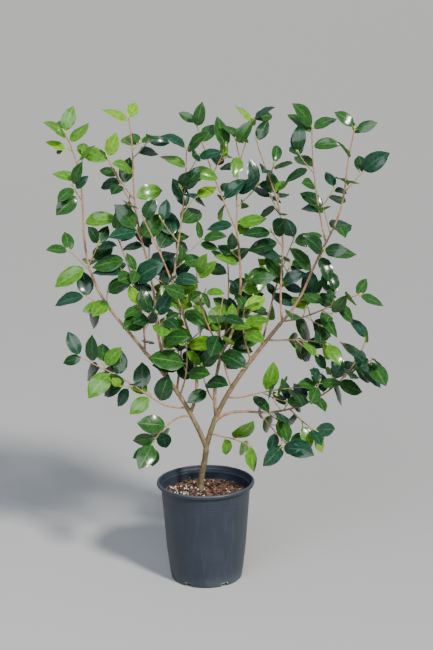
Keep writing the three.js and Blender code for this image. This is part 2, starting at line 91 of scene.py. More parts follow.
METRE = 0.001
BODY = "root"
YOUNG_MASS = "young_centre"
UV_UPPER = 0.75
UV_UNDER = 0.25
UV_HALF = 0.235
UV_ALONG = (0.02, 0.96)


# The growth rule's named sizes, the same as in the part's source


@dataclass(frozen=True)
class Limb:
    """One limb's named sizes: angles in degrees from upright, half thicknesses base and tip in mm."""

    name: str
    parent: str
    share: float
    length: float
    heading: float
    bend: float
    base: float
    tip: float
    sway: float = 0.0
    waves: float = 0.5
    phase: float = 0.0
    lean: float = 0.0
    lift: float = 0.0


@dataclass(frozen=True)
class Mass(Limb):
    """One mass of foliage: its stem, the leaders that rise from it, and how its twigs and leaves stand.

    The layout is the length of the stem with no twigs, the distance between twigs and their length.
    """

    layout: tuple[float, float, float] = (20.0, 82.0, 66.0)
    gap: float = 56.0
    leaders: tuple[Limb, ...] = ()

    @property
    def bare(self) -> float:
        """Length of the stem with no twigs."""
        return self.layout[0]


leader = partial(Limb, "leader", "")

MIX_TOP = 256.0
TRUNK = Limb("trunk", "", 0, 129, -4, 7, 8.7, 7.9, sway=12, lean=2, lift=-2)
TRUNK_FOOT = np.array([-13.0, 0.0, MIX_TOP - 3])
TRUNK_FLARE = 2.8

BOUGHS = (
    Limb("left", "trunk", 1, 328, -19, -24, 7.2, 5.2, lean=-4, lift=8),
    Limb("right", "trunk", 1, 424, 13, 25, 7.6, 5, sway=8, lean=5, lift=-10),
    Limb("centre", "right", 0.22, 192, -8, 28, 5.2, 4.3, lean=-6, lift=12),
    Limb("inner_left", "left", 0.34, 240, 26, -38, 4.8, 3.7, sway=-12, lean=8, lift=-10),
    Limb("third_left", "left", 0.68, 230, -16, 14, 4.2, 3.3, lean=6, lift=-8),
    Limb("low_right", "right", 0.15, 128, 24, 72, 4.4, 3.6, sway=12, lean=-8, lift=4),
    Limb("low_left", "left", 0.4, 66, -94, 26, 3.1, 2.6, lean=-8, lift=4),
    Limb("drop_left", "left", 0.31, 44, -78, -34, 2.8, 2.4, lean=-14, lift=6),
    Limb("low_twig_right", "right", 0.37, 52, 100, -24, 2.8, 2.3, lean=-10, lift=6),
    Limb("mid_left", "left", 0.82, 42, 12, 6, 3, 2.6, lean=-24, lift=6),
    Limb("low_mid", "left", 0.52, 40, 22, -6, 3, 2.5, lean=-26, lift=8),
    Limb("low_centre", "centre", 0.22, 34, -32, 6, 2.8, 2.4, lean=-20, lift=6),
    Limb("low_back", "right", 0.44, 42, -22, 4, 2.9, 2.5, lean=22, lift=-6),
    Limb("low_front", "right", 0.1, 36, 92, 8, 2.8, 2.4, lean=-40, lift=14),
    Limb("mid_right", "right", 0.66, 48, -8, -10, 3.1, 2.6, lean=-22, lift=4),
    Limb("right_outer", "right", 0.84, 44, 92, -6, 2.8, 2.4, lean=-14, lift=6),
    Limb("back_left", "left", 0.56, 74, 4, 10, 3.4, 2.8, lean=38, lift=-8),
    Limb("back_centre", "centre", 0.5, 70, 10, 8, 3.2, 2.7, lean=40, lift=-10),
    Limb("back_right", "right", 0.78, 72, 14, 4, 3.2, 2.7, lean=38, lift=-8),
    Limb("front_centre", "centre", 0.7, 52, 14, -8, 3, 2.6, lean=-40, lift=10),
)

MASSES = (
    Mass("left_leader", "left", 1, 657, -23, 9, 4.6, 1.7, sway=17, waves=1, phase=-0.38, lean=3, lift=-4,
         layout=(70, 150, 62), gap=110,
         leaders=(leader(0.41, 84, -40, -6, 2, 1.4, lean=-6),)),
    Mass("left_second", "left", 1, 350, 4, -24, 3.2, 1.6, sway=-6, lean=-5, lift=6, layout=(30, 112, 58)),
    Mass("third_left", "third_left", 1, 500, -4, -6, 3.3, 1.6, sway=-8, waves=1, lean=3,
         layout=(20, 104, 64), gap=64,
         leaders=(leader(0.5, 165, -30, 8, 2.1, 1.5, lean=-6),)),
    Mass("inner_left", "inner_left", 1, 350, -14, -12, 3.6, 1.6, lean=-9, lift=6,
         layout=(10, 78, 74), gap=74,
         leaders=(leader(0.4, 374, 8, -8, 2.7, 1.5, sway=4, lean=4, lift=-6),)),
    Mass("young_centre", "centre", 1, 240, -34, 34, 2.7, 1.6, lean=-10, lift=6, layout=(30, 76, 58)),
    Mass("centre_leader", "centre", 1, 347, 32, -40, 4.2, 3, sway=-8, lean=6, lift=-8,
         layout=(20, 100, 74), gap=76,
         leaders=(leader(1, 310, -24, 8, 2.4, 1.5, lean=-3),
                  leader(1, 309, 4, 10, 2.4, 1.5, sway=-7, waves=1, lean=5))),
    Mass("third_right", "right", 1, 512, -4, -8, 3.4, 1.6, sway=10, waves=1, phase=-0.05, lean=5, lift=-6,
         layout=(40, 102, 64), gap=62),
    Mass("right_leader", "right", 1, 570, 36, -32, 4, 1.6, sway=6, waves=2, phase=0.3, lean=-4, lift=6,
         layout=(30, 104, 68), gap=62,
         leaders=(leader(0.44, 312, -14, 14, 2.3, 1.5, lean=4),)),
    Mass("right_side", "right", 1, 225, 82, -14, 2.7, 1.6, sway=-10, lean=-12, lift=6,
         layout=(30, 76, 60), gap=40),
    Mass("low_right", "low_right", 1, 410, 97, -80, 3.4, 1.6, lean=2, lift=-4, layout=(10, 92, 60), gap=46,
         leaders=(leader(0.05, 122, 142, -8, 2.2, 1.5, lean=-14),
                  leader(0.26, 96, 138, -14, 2.1, 1.5, lean=-6))),
    Mass("low_left", "low_left", 1, 270, -60, 4, 2.5, 1.5, sway=6, waves=1, lean=-4, lift=6,
         layout=(8, 400, 50), gap=27),
    Mass("drop_left", "drop_left", 1, 112, -120, -36, 2.3, 1.5, lean=-6, layout=(4, 300, 40), gap=24),
    Mass("low_twig_right", "low_twig_right", 1, 165, 74, 12, 2.2, 1.5, lean=-4,
         layout=(20, 88, 52), gap=34),
    Mass("mid_left", "mid_left", 1, 130, 8, -26, 2.5, 1.5, lean=-18, lift=14, layout=(14, 64, 56), gap=40),
    Mass("low_mid", "low_mid", 1, 112, 16, -22, 2.4, 1.5, lean=-10, lift=10, layout=(6, 62, 50), gap=26),
    Mass("low_centre", "low_centre", 1, 92, -22, 20, 2.3, 1.5, lean=-16, lift=10,
         layout=(6, 62, 48), gap=24),
    Mass("low_back", "low_back", 1, 130, -16, 16, 2.4, 1.5, lean=16, lift=-14, layout=(8, 70, 54), gap=34),
    Mass("low_front", "low_front", 1, 96, 96, 24, 2.3, 1.5, lean=-10, lift=4, layout=(6, 200, 40), gap=24),
    Mass("mid_right", "mid_right", 1, 120, -18, 30, 2.5, 1.5, lean=-18, lift=14,
         layout=(10, 60, 58), gap=34),
    Mass("right_outer", "right_outer", 1, 118, 84, 22, 2.3, 1.5, lean=-6, lift=4,
         layout=(6, 76, 52), gap=26),
    Mass("back_left", "back_left", 1, 270, 4, -14, 2.7, 1.5, lean=26, lift=-22,
         layout=(20, 82, 66), gap=80),
    Mass("back_centre", "back_centre", 1, 290, 14, -18, 2.6, 1.5, lean=24, lift=-18),
    Mass("back_right", "back_right", 1, 250, 14, 10, 2.6, 1.5, lean=26, lift=-20),
    Mass("front_centre", "front_centre", 1, 190, -6, 18, 2.5, 1.5, lean=-26, lift=24, layout=(14, 70, 60)),
)
MASS_NODES = tuple(f"mass_{item.name}" for item in MASSES)


class StemKind(Enum):
    """What a growing stem is."""

    MAIN = "main"
    LEADER = "leader"
    TWIG = "twig"
    FINE = "fine"


class Draw(IntEnum):
    """What a seeded number decides: the last of the whole numbers that it is hashed from."""

    KEPT = 0
    TWIG_PLACE = 1
    TWIG_LENGTH = 2
    TWIG_SPREAD = 3
    TWIG_ROLL = 4
    LEAF_GAP = 5
    LEAF_OPEN = 6
    LEAF_SIZE = 7
    LEAF_ROLL = 8
    LEAF_NOD = 9
    LEAF_TILT = 10
    PETIOLE = 11
    WAVE_COUNT = 21
    WAVE_PITCH = 22
    WAVE_START = 23
    NODE_START = 31
    SPRAY_TINT = 55
    LEAF_TINT = 56
    BLADE = 60
    TIP_LEAVES = 66
    TWIGS_START = 77
    BUD_COUNT = 81
    BUD_ROLL = 82
    BUD_LENGTH = 83
    BUD_SIZE = 84
    LEAVES_START = 99


@dataclass(frozen=True)
class TwigRule:
    """How twigs stand on a stem, in mm and degrees.

    Spread is their angle off the stem and flat how far they keep to the fan's plane. Two numbers in a pair
    are the least value and what chance adds, or, for taper, the value at the stem's base and what its tip
    adds. Of the twigs at least the share named least stays, and more of them low down and out at the sides.
    """

    kind: StemKind = StemKind.TWIG
    first_id: int = 40
    batch: int = 0
    radius: float = 1.7
    tip: float = 1.35
    bare: float = 16.0
    end: float = 30.0
    test: float = 5.0
    spread: Pair = (41.0, 14.0)
    flat: float = 0.8
    rise: float = 0.3
    place: Pair = (0.35, 0.4)
    size: Pair = (0.65, 0.7)
    taper: Pair = (1.1, -0.3)
    roll: float = 90.0
    least: float = 1.0


@dataclass(frozen=True)
class LeafRule:
    """How leaves stand, in mm and degrees.

    Width, droop and curl are shares of the length, flat is how far they keep to the fan's plane and test
    how much air they need. Tips holds how far back from the tip its leaves stand, one set or the other.
    """

    length: float = 77.0
    size: Pair = (0.85, 0.3)
    tip_size: float = 0.88
    width: float = 0.6
    open: Pair = (51.0, 18.0)
    tip_open: Pair = (31.0, 18.0)
    flat: float = 0.5
    droop: float = 0.16
    nod: Pair = (0.3, 1.4)
    tilt: Pair = (-0.25, 0.5)
    curl: float = 0.1
    roll: float = 70.0
    test: float = 5.0
    gap: Pair = (0.85, 0.3)
    foot: float = 4.0
    end: float = 30.0
    tips: tuple[tuple[float, ...], ...] = ((16.0, 7.0, 1.0), (10.0, 1.0))
    petiole: Pair = (5.0, 3.0)
    own_reach: float = 40.0


@dataclass(frozen=True)
class FineRule:
    """Where the crown goes on past the source's twigs: thin spurs, most of them low and at the sides."""

    bare: float = 10.0
    every: float = 50.0
    reach: float = 30.0
    low: float = 400.0
    high: float = 1050.0
    middle: float = 20.0
    aside: float = 170.0


TWIG = TwigRule()
FINE_TWIG = replace(TWIG, kind=StemKind.FINE, first_id=200, batch=200, radius=1.3, tip=1.0, bare=10.0,
                    end=0.0, test=3.0, least=0.1)
LEAF = LeafRule()
FINE_LEAF = replace(LEAF, length=66.22, test=3.0, end=18.0, tips=((9.0, 1.0),))
FINE = FineRule()
LIGHT = np.array([0.25, -0.85, 0.45]) / np.linalg.norm([0.25, -0.85, 0.45])
LIGHT_PULL = 2.4
SPACE_LOW = np.array([-432.0, -210.0, 292.0])
SPACE_HIGH = np.array([492.0, 210.0, 1342.0])
STEP = 10.0
CLEAR = 3.5
GOLDEN = 137.5
TRIES = 7
TURN_ON = 50.0
LEADER_BARE = 12.0
NEARLY_STRAIGHT = 0.7
ANY_TURN = 6.3
WAVES = 4
WAVE_LOBES = (1.0, 4.0)
WAVE_PITCH = (0.05, 0.22)
ODD_WAY = np.array([0.31, 0.93, 0.2])

LEAF_FOOT = np.array([(0.04, 0), (0.1, 0)])
LEAF_TESTS = np.array([
    (0.16, 0), (0.29, -0.2), (0.29, 0.2), (0.38, -0.43), (0.38, 0), (0.38, 0.43), (0.53, -0.23),
    (0.53, 0.23), (0.6, -0.42), (0.6, 0.42), (0.68, 0), (0.76, -0.26), (0.76, 0.26), (0.86, 0), (1, 0),
])


def chance(*keys: int) -> float:
    """Gives a repeatable number from 0 to 1 for a set of whole numbers, by hashing them in turn.

    Args:
        keys: The whole numbers.

    Returns:
        The number.
    """
    h = 0x2545F491
    for key in keys:
        h = ((h ^ (key + 0x1F123BB5)) * 0x85EBCA6B) & 0xFFFFFFFF
        h ^= h >> 13
        h = (h * 0xC2B2AE35) & 0xFFFFFFFF
        h ^= h >> 16
    return h / 4294967296


def deal(pair: Pair, *keys: int) -> float:
    """Gives a repeatable number: the pair's first, plus its second times chance."""
    return pair[0] + pair[1] * chance(*keys)


def unit(vector: Array) -> Array:
    """Scales a vector, or each row of an array of them, to length 1."""
    return vector / np.linalg.norm(vector, axis=-1, keepdims=True)


def limb_path(start: Array, limb: Limb) -> Array:
    """Works out a limb's path from its named sizes.

    The heading at a share s of the length is heading + bend s + sway sin(2 pi (waves s + phase)), the
    angle towards the back is lean + lift s, and each step of the path goes along that way.

    Args:
        start: Where the limb begins.
        limb: Its sizes.

    Returns:
        Points about STEP apart.
    """
    count = max(2, int(limb.length / STEP + 0.5))
    s = (np.arange(count) + 0.5) / count
    swing = limb.sway * np.sin(2 * np.pi * (limb.waves * s + limb.phase))
    turn = np.radians(limb.heading + limb.bend * s + swing)
    back = np.radians(limb.lean + limb.lift * s)
    ways = np.stack([np.sin(turn) * np.cos(back), np.sin(back), np.cos(turn) * np.cos(back)], axis=1)
    return start + np.vstack([np.zeros(3), np.cumsum(ways * limb.length / count, axis=0)])


def twig_path(start: Array, way: Array, length: float) -> Array:
    """Works out a twig's path: it leaves along way and rises towards the light by a little each step.

    Args:
        start: Where it begins.
        way: The direction that it leaves in.
        length: Its length.

    Returns:
        Points about STEP apart.
    """
    count = max(2, int(length / STEP + 0.5))
    points = [start]
    now = way
    for _ in range(count):
        now = unit(now + np.array([0, 0, TWIG.rise / count]))
        points.append(points[-1] + now * length / count)
    return np.array(points)


def along(points: Array, share: float) -> tuple[Array, Array]:
    """Gives the place and the direction at a share of a path's length.

    Args:
        points: The path.
        share: From 0 at its start to 1 at its tip.

    Returns:
        The place and a direction of length 1.
    """
    last = len(points) - 1
    at = min(max(share, 0.0), 1.0) * last
    i = min(int(at), last - 1)
    step = points[i + 1] - points[i]
    return points[i] + step * (at - i), unit(step)


def lead_in(parent: Array, points: Array) -> Array:
    """Gives a limb's last points before its tip, where another goes on from the tip nearly straight.

    Args:
        parent: The limb's path.
        points: The other's path.

    Returns:
        The two points before the tip, or none.
    """
    is_tip = np.allclose(parent[-1], points[0])
    straight = unit(parent[-1] - parent[-2]) @ unit(points[1] - points[0])
    return parent[-3:-1] if is_tip and straight > NEARLY_STRAIGHT else parent[:0]


def sides(way: Array) -> tuple[Array, Array]:
    """Gives two directions square to way and to each other.

    Args:
        way: A direction of length 1.

    Returns:
        The two directions, of length 1.
    """
    axis = np.array([0.0, 1.0, 0.0]) if abs(way[1]) < 0.9 else np.array([1.0, 0.0, 0.0])
    across = unit(np.cross(way, axis))
    return across, unit(np.cross(across, way))


def ways_out(across: Array, over: Array, first: float, flat: float) -> Iterator[Array]:
    """Gives ways to try out from a stem, each turned on from the last.

    Args:
        across: One direction square to the stem.
        over: The other.
        first: Angle of the first way, in degrees.
        flat: How far they keep to the fan's plane.

    Yields:
        Directions of length 1.
    """
    for attempt in range(TRIES):
        roll = math.radians(first + TURN_ON * attempt)
        out = across * math.cos(roll) + over * math.sin(roll)
        yield unit(out * np.array([1, flat, 1]))


@dataclass
class Stem:
    """A stem, leader or twig of one mass, with its path."""

    kind: StemKind
    id: int
    owner: int
    mass_id: int
    points: Array
    length: float
    base: float
    tip: float
    bare: float
    lead: Array = field(default_factory=lambda: np.zeros((0, 3)))

    @property
    def keys(self) -> tuple[int, int]:
        """The whole numbers that its seeded numbers start from."""
        return self.mass_id, self.id


@dataclass
class Leaf:
    """One leaf: where it leaves its stem, which way it points and faces, and how long it is."""

    root: Array
    ahead: Array
    face: Array
    length: float
    stem: Stem
    order: int
    is_tip: bool
    petiole: float


BALL = np.dtype([("point", float, 3), ("radius", float), ("owner", int), ("at", float), ("mass", int),
                 ("foot", bool)])


@dataclass
class Air:
    """The space that is already taken, as balls that twigs and leaves keep clear of."""

    balls: Array = field(default_factory=lambda: np.zeros(60000, BALL))
    count: int = 0
    owners: int = 0

    def next_owner(self) -> int:
        """Gives the next owner's number."""
        self.owners += 1
        return self.owners

    def take(self, points: Array, radius: Union[Array, float], owner: int, at: Union[Array, float] = 0.0,
             mass_id: int = -1, foot: bool = False) -> None:
        """Marks balls round some points as taken.

        Args:
            points: Their middles.
            radius: Their radius, one for all or one each.
            owner: Number of the limb or leaf that they belong to.
            at: Their place along it, counted in points.
            mass_id: Number of the mass, or -1.
            foot: Whether they are a leaf's foot.
        """
        balls = self.balls[self.count:self.count + len(points)]
        for name, value in zip(BALL.names, (points, radius, owner, at, mass_id, foot)):
            balls[name] = value
        self.count += len(points)

    def take_path(self, points: Array, base: float, tip: float, mass_id: int = -1) -> int:
        """Marks a limb's path as taken, with its half thickness and some air round it.

        Args:
            points: The path.
            base: Half thickness at its base.
            tip: Half thickness at its tip.
            mass_id: Number of the mass, or -1.

        Returns:
            The limb's number as an owner.
        """
        owner = self.next_owner()
        place = np.arange(len(points))
        self.take(points, base + (tip - base) * place / place[-1] + CLEAR, owner, place, mass_id)
        return owner

    def is_clear(self, points: Array, radius: float, skip: Callable[[Array], Array]) -> bool:
        """Says whether points lie in the crown's space, further than radius from every ball not skipped.

        Args:
            points: The points to test.
            radius: Their own half thickness.
            skip: Says which of some balls don't count.

        Returns:
            True if all is clear.
        """
        if (points <= SPACE_LOW).any() or (points >= SPACE_HIGH).any():
            return False
        centre = points.mean(axis=0)
        reach = np.linalg.norm(points - centre, axis=1).max() + radius
        taken = self.balls[:self.count]
        offset = taken["point"] - centre
        near = taken[(offset ** 2).sum(axis=1) < (reach + taken["radius"] + 1) ** 2]
        near = near[~skip(near)]
        gaps = np.linalg.norm(points[:, None] - near["point"][None], axis=2)
        return bool((gaps > near["radius"][None] + radius).all())


class Growth:
    """Grows the crown: limbs, the masses' stems and twigs by the source's rule, then the finer parts."""

    def __init__(self) -> None:
        """Grows all that the source grows, in its order, and then the finer parts."""
        self.air = Air()
        self.limbs: dict[str, Array] = {}
        self.stems: list[Stem] = []
        self.leaves: list[Leaf] = []
        self.grow_limbs()
        grown = [self.grow_stems(index, item) for index, item in enumerate(MASSES)]
        for item, stems in zip(MASSES, grown):
            twigs: list[Stem] = []
            for stem in stems:
                self.side_twigs(stem, twigs, item.layout, TWIG)
            self.stems += stems + twigs
        coarse = list(self.stems)
        for stem in coarse:
            self.grow_leaves(stem, MASSES[stem.mass_id].gap, LEAF)
        for index, item in enumerate(MASSES):
            fine: list[Stem] = []
            for stem in (stem for stem in coarse if stem.mass_id == index):
                bare = FINE.bare if stem.kind is StemKind.TWIG else item.bare + FINE.bare
                self.side_twigs(stem, fine, (bare, FINE.every, FINE.reach), FINE_TWIG)
            self.stems += fine
            for stem in fine:
                self.grow_leaves(stem, FINE.reach, FINE_LEAF)

    def grow_limbs(self) -> None:
        """Grows the trunk and the boughs, each from a share of its parent's length."""
        for limb in (TRUNK,) + BOUGHS:
            start = TRUNK_FOOT
            if limb.parent:
                start = along(self.limbs[limb.parent], limb.share)[0]
            self.limbs[limb.name] = limb_path(start, limb)
            self.air.take_path(self.limbs[limb.name], limb.base, limb.tip)

    def add_stem(self, kind: StemKind, number: int, index: int, limb: Limb, parent: Array,
                 bare: float) -> Stem:
        """Grows one stem or leader of a mass.

        Args:
            kind: What it is.
            number: Its number in the mass.
            index: The mass's number.
            limb: Its sizes.
            parent: The path that it grows from, at limb.share of its length.
            bare: Length of it with no twigs.

        Returns:
            The stem.
        """
        points = limb_path(along(parent, limb.share)[0], limb)
        owner = self.air.take_path(points, limb.base, limb.tip, index)
        return Stem(kind, number, owner, index, points, limb.length, limb.base, limb.tip, bare,
                    lead_in(parent, points))

    def grow_stems(self, index: int, item: Mass) -> list[Stem]:
        """Grows a mass's stem and its leaders.

        Args:
            index: The mass's number.
            item: Its sizes.

        Returns:
            The stem, and then the leaders.
        """
        main = self.add_stem(StemKind.MAIN, 0, index, item, self.limbs[item.parent], item.bare)
        return [main] + [self.add_stem(StemKind.LEADER, 1 + i, index, leader, main.points, LEADER_BARE)
                         for i, leader in enumerate(item.leaders)]

    def side_twigs(self, stem: Stem, twigs: list[Stem], layout: tuple[float, float, float],
                   rule: TwigRule) -> None:
        """Grows twigs off one stem, a set distance apart and turned on by the golden angle.

        A twig that would touch another limb or leave the space turns on, and in the end is left out.

        Args:
            stem: The stem that they grow on.
            twigs: Where they are put.
            layout: Length of the stem with none, distance between them and their length.
            rule: How they stand.
        """
        bare, every, reach = layout
        start_roll = 180 * chance(*stem.keys, Draw.TWIGS_START + rule.batch)
        for i in range(math.floor((stem.length - bare - rule.end) / every)):
            keys = (*stem.keys, i + rule.batch)
            share = (bare + every * (i + deal(rule.place, *keys, Draw.TWIG_PLACE))) / stem.length
            point, way = along(stem.points, share)
            lowness = (FINE.high - point[2]) / (FINE.high - FINE.low)
            asideness = min(1.0, abs(point[0] - FINE.middle) / FINE.aside)
            if chance(*keys, Draw.KEPT) > max(rule.least, lowness * asideness):
                continue
            taper = rule.taper[0] + rule.taper[1] * share
            length = reach * deal(rule.size, *keys, Draw.TWIG_LENGTH) * taper
            spread = math.radians(deal(rule.spread, *keys, Draw.TWIG_SPREAD))
            first = GOLDEN * i + rule.roll * chance(*keys, Draw.TWIG_ROLL) + start_roll
            for out in ways_out(*sides(way), first, rule.flat):
                path = twig_path(point, unit(way * math.cos(spread) + out * math.sin(spread)), length)
                if self.air.is_clear(path[2:], rule.test, lambda balls: balls["owner"] == stem.owner):
                    owner = self.air.take_path(path, rule.radius, rule.tip, stem.mass_id)
                    twigs.append(Stem(rule.kind, rule.first_id + len(twigs), owner, stem.mass_id, path,
                                      length, rule.radius, rule.tip, rule.bare))
                    break

    def grow_leaves(self, stem: Stem, gap: float, rule: LeafRule) -> None:
        """Grows the leaves of one stem: one every gap along it and two or three at its tip.

        Args:
            stem: The stem.
            gap: Distance between its leaves.
            rule: How they stand.
        """
        places = []
        at = stem.bare + rule.foot
        while at < stem.length - rule.end:
            places.append(at)
            at += gap * deal(rule.gap, *stem.keys, len(places), Draw.LEAF_GAP)
        first_tip = len(places)
        tips = rule.tips[int(chance(*stem.keys, Draw.TIP_LEAVES) * len(rule.tips))]
        places += [stem.length - back for back in tips]
        for i, place in enumerate(places):
            leaf = self.find_leaf(stem, i, place, i >= first_tip, rule)
            if leaf:
                self.leaves.append(leaf)

    def find_leaf(self, stem: Stem, i: int, place: float, is_tip: bool, rule: LeafRule) -> Optional[Leaf]:
        """Looks for a clear way for one leaf and takes its space.

        A leaf points off the stem by the open angle, nods a little, and turns its face to the light. One
        that would touch a limb or another leaf turns on round the stem, and in the end is left out.

        Args:
            stem: The stem it grows on.
            i: The leaf's number on the stem.
            place: Where along the stem it stands.
            is_tip: Whether it belongs to the tip.
            rule: How it stands.

        Returns:
            The leaf, or None where it has no room.
        """
        keys = (*stem.keys, i)
        point, way = along(stem.points, place / stem.length)
        across, over = sides(way)
        opening = math.radians(deal(rule.tip_open if is_tip else rule.open, *keys, Draw.LEAF_OPEN))
        size = rule.length * deal(rule.size, *keys, Draw.LEAF_SIZE) * (rule.tip_size if is_tip else 1)
        first = GOLDEN * i + rule.roll * chance(*keys, Draw.LEAF_ROLL)
        first += 360 * chance(*stem.keys, Draw.LEAVES_START)
        down = np.array([0, 0, rule.droop * deal(rule.nod, *keys, Draw.LEAF_NOD)])
        tilt = deal(rule.tilt, *keys, Draw.LEAF_TILT)

        def own_or_foot(balls: Array) -> Array:
            """Skips the stem near the leaf's foot, and the feet of the mass's other leaves."""
            near = np.abs(balls["at"] * STEP - place) < rule.own_reach
            return (near & (balls["owner"] == stem.owner)) | (balls["foot"] & in_mass(balls))

        def in_mass(balls: Array) -> Array:
            """Skips all that belongs to the leaf's own mass."""
            return balls["mass"] == stem.mass_id

        for out in ways_out(across, over, first, rule.flat):
            ahead = unit(way * math.cos(opening) + out * math.sin(opening) - down)
            face = way + LIGHT * LIGHT_PULL + across * tilt
            face = unit(face - ahead * (face @ ahead))
            side = unit(np.cross(ahead, face)) * rule.width
            tests, foot = (point + size * (ahead * net[:, :1] + side * net[:, 1:]
                                           - face * rule.curl * net[:, :1] ** 2)
                           for net in (LEAF_TESTS, LEAF_FOOT))
            is_free = self.air.is_clear(tests, rule.test, own_or_foot)
            if is_free and self.air.is_clear(foot, rule.test, in_mass):
                owner = self.air.next_owner()
                self.air.take(tests, rule.test, owner, mass_id=stem.mass_id)
                self.air.take(foot, rule.test, owner, mass_id=stem.mass_id, foot=True)
                petiole = deal(rule.petiole, *keys, Draw.PETIOLE)
                return Leaf(point, ahead, face, size, stem, i, is_tip, petiole)
        return None


# Meshes


@dataclass
class Shape:
    """Points in mm and faces of one surface or of several joined ones."""

    points: Array
    faces: list[Array]
    uv: Optional[Array] = None
    girth: Optional[Array] = None


def joined(shapes: Sequence[Shape]) -> Shape:
    """Joins several limbs into one shape, face kind by face kind.

    Args:
        shapes: The limbs.

    Returns:
        The shape, with their girths.
    """
    starts = np.cumsum([0] + [len(shape.points) for shape in shapes])
    faces = [np.concatenate([kind + start for kind, start in zip(kinds, starts)])
             for kinds in zip(*(shape.faces for shape in shapes))]
    girth = np.concatenate([shape.girth for shape in shapes])
    return Shape(np.concatenate([shape.points for shape in shapes]), faces, girth=girth)


def repeated(points: Array, faces: Sequence[Array], uv: Optional[Array] = None) -> Shape:
    """Makes one shape of many that have the same faces.

    Args:
        points: Their points (count, size, 3).
        faces: The faces of one.
        uv: The UV map of one, corner by corner.

    Returns:
        The shape.
    """
    count, size = points.shape[:2]
    start = (np.arange(count) * size)[:, None, None]
    many = [(kind[None] + start).reshape(-1, kind.shape[1]) for kind in faces]
    whole_uv = None if uv is None else np.tile(uv.reshape(-1, 2), (count, 1))
    return Shape(points.reshape(-1, 3), many, whole_uv)


def put_mesh(name: str, shape: Shape, material: bpy.types.Material,
             smooth: bool = True) -> bpy.types.Object:
    """Makes a Blender object of a shape, in metres, with its place in its mesh.

    Args:
        name: The piece's name.
        shape: Its points and faces.
        material: Its finish.
        smooth: Whether its faces are shaded smooth.

    Returns:
        The object.
    """
    mesh = bpy.data.meshes.new(name)
    corners = np.concatenate([faces.ravel() for faces in shape.faces])
    sizes = np.concatenate([np.full(len(faces), faces.shape[1]) for faces in shape.faces])
    mesh.vertices.add(len(shape.points))
    mesh.loops.add(len(corners))
    mesh.polygons.add(len(sizes))
    mesh.vertices.foreach_set("co", (shape.points * METRE).astype(np.float32).ravel())
    mesh.loops.foreach_set("vertex_index", corners.astype(np.int32))
    mesh.polygons.foreach_set("loop_start", (np.cumsum(sizes) - sizes).astype(np.int32))
    mesh.polygons.foreach_set("use_smooth", np.full(len(sizes), smooth))
    if shape.uv is not None:
        mesh.uv_layers.new(name="OFBake").data.foreach_set("uv", shape.uv.astype(np.float32).ravel())
    if shape.girth is not None:
        girth = mesh.attributes.new("girth", "FLOAT", "POINT")
        girth.data.foreach_set("value", shape.girth.astype(np.float32))
    mesh.update(calc_edges=True)
    mesh.validate()
    mesh.materials.append(material)
    made = bpy.data.objects.new(name, mesh)
    bpy.context.scene.collection.objects.link(made)
    LOG.info("%s: %d faces", name, len(mesh.polygons))
    return made


def own(piece: bpy.types.Object, nodes: Sequence[str] = ()) -> None:
    """Puts a piece on the part's one body, and hides the CAD nodes it stands for.

    Args:
        piece: The piece.
        nodes: The nodes that it replaces.
    """
    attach(piece, BODY)
    if nodes:
        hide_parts(*nodes)


def grid_faces(rows: int, columns: int, closed: bool) -> Array:
    """Gives the quads of a grid of points, row by row.

    Args:
        rows: How many rows the grid has.
        columns: How many columns.
        closed: Whether the columns run round.

    Returns:
        The quads' corners.
    """
    row, column = np.meshgrid(np.arange(rows - 1), np.arange(columns - (not closed)), indexing="ij")
    ahead = (column + 1) % columns
    corners = [row * columns + column, row * columns + ahead, (row + 1) * columns + ahead,
               (row + 1) * columns + column]
    return np.stack(corners, axis=-1).reshape(-1, 4)


def capped(rings: Array) -> Shape:
    """Closes a tube of rings (rows, columns, 3), or many alike at once, with a fan at each end.

    Args:
        rings: Points, each ring counterclockwise as seen from the side of the last one.

    Returns:
        The closed shape.
    """
    tubes = rings.reshape(-1, *rings.shape[-3:])
    count, rows, columns = tubes.shape[:3]
    points = np.concatenate([tubes.reshape(count, -1, 3), tubes[:, [0, -1]].mean(axis=2)], axis=1)
    here = np.arange(columns)
    ahead = (here + 1) % columns
    pole = np.full(columns, rows * columns)
    last = (rows - 1) * columns
    start = np.stack([pole, ahead, here], axis=1)
    end = np.stack([pole + 1, last + here, last + ahead], axis=1)
    return repeated(points, [np.concatenate([start, end]), grid_faces(rows, columns, True)])


def circle(columns: int) -> Array:
    """Gives the angles of points evenly round a circle."""
    return 2 * np.pi * np.arange(columns) / columns


def arc(centre: tuple[float, float], radii: tuple[float, float], start: float, count: int = 6) -> Array:
    """Gives points on a quarter of an ellipse: centre + radii (cos, sin), from start in degrees on."""
    angle = np.radians(start + np.linspace(0, 90, count))
    return np.array(centre) + np.array(radii) * np.stack([np.cos(angle), np.sin(angle)], axis=1)


def rotations(axis: int, angle: Array) -> Array:
    """Gives a matrix for each angle, which turns about one axis.

    Args:
        axis: 0, 1 or 2 for x, y or z.
        angle: The angles.

    Returns:
        The matrices (count, 3, 3).
    """
    first, second = (axis + 1) % 3, (axis + 2) % 3
    matrix = np.tile(np.eye(3), (len(angle), 1, 1))
    matrix[:, first, first] = matrix[:, second, second] = np.cos(angle)
    matrix[:, second, first] = np.sin(angle)
    matrix[:, first, second] = -np.sin(angle)
    return matrix


def bells(values: Array, middles: Sequence[float], height: float, width: float) -> Array:
    """Sums bell curves of one height and width: height exp(-((value - middle) / width) squared)."""
    return sum(height * np.exp(-((values - middle) / width) ** 2) for middle in middles)


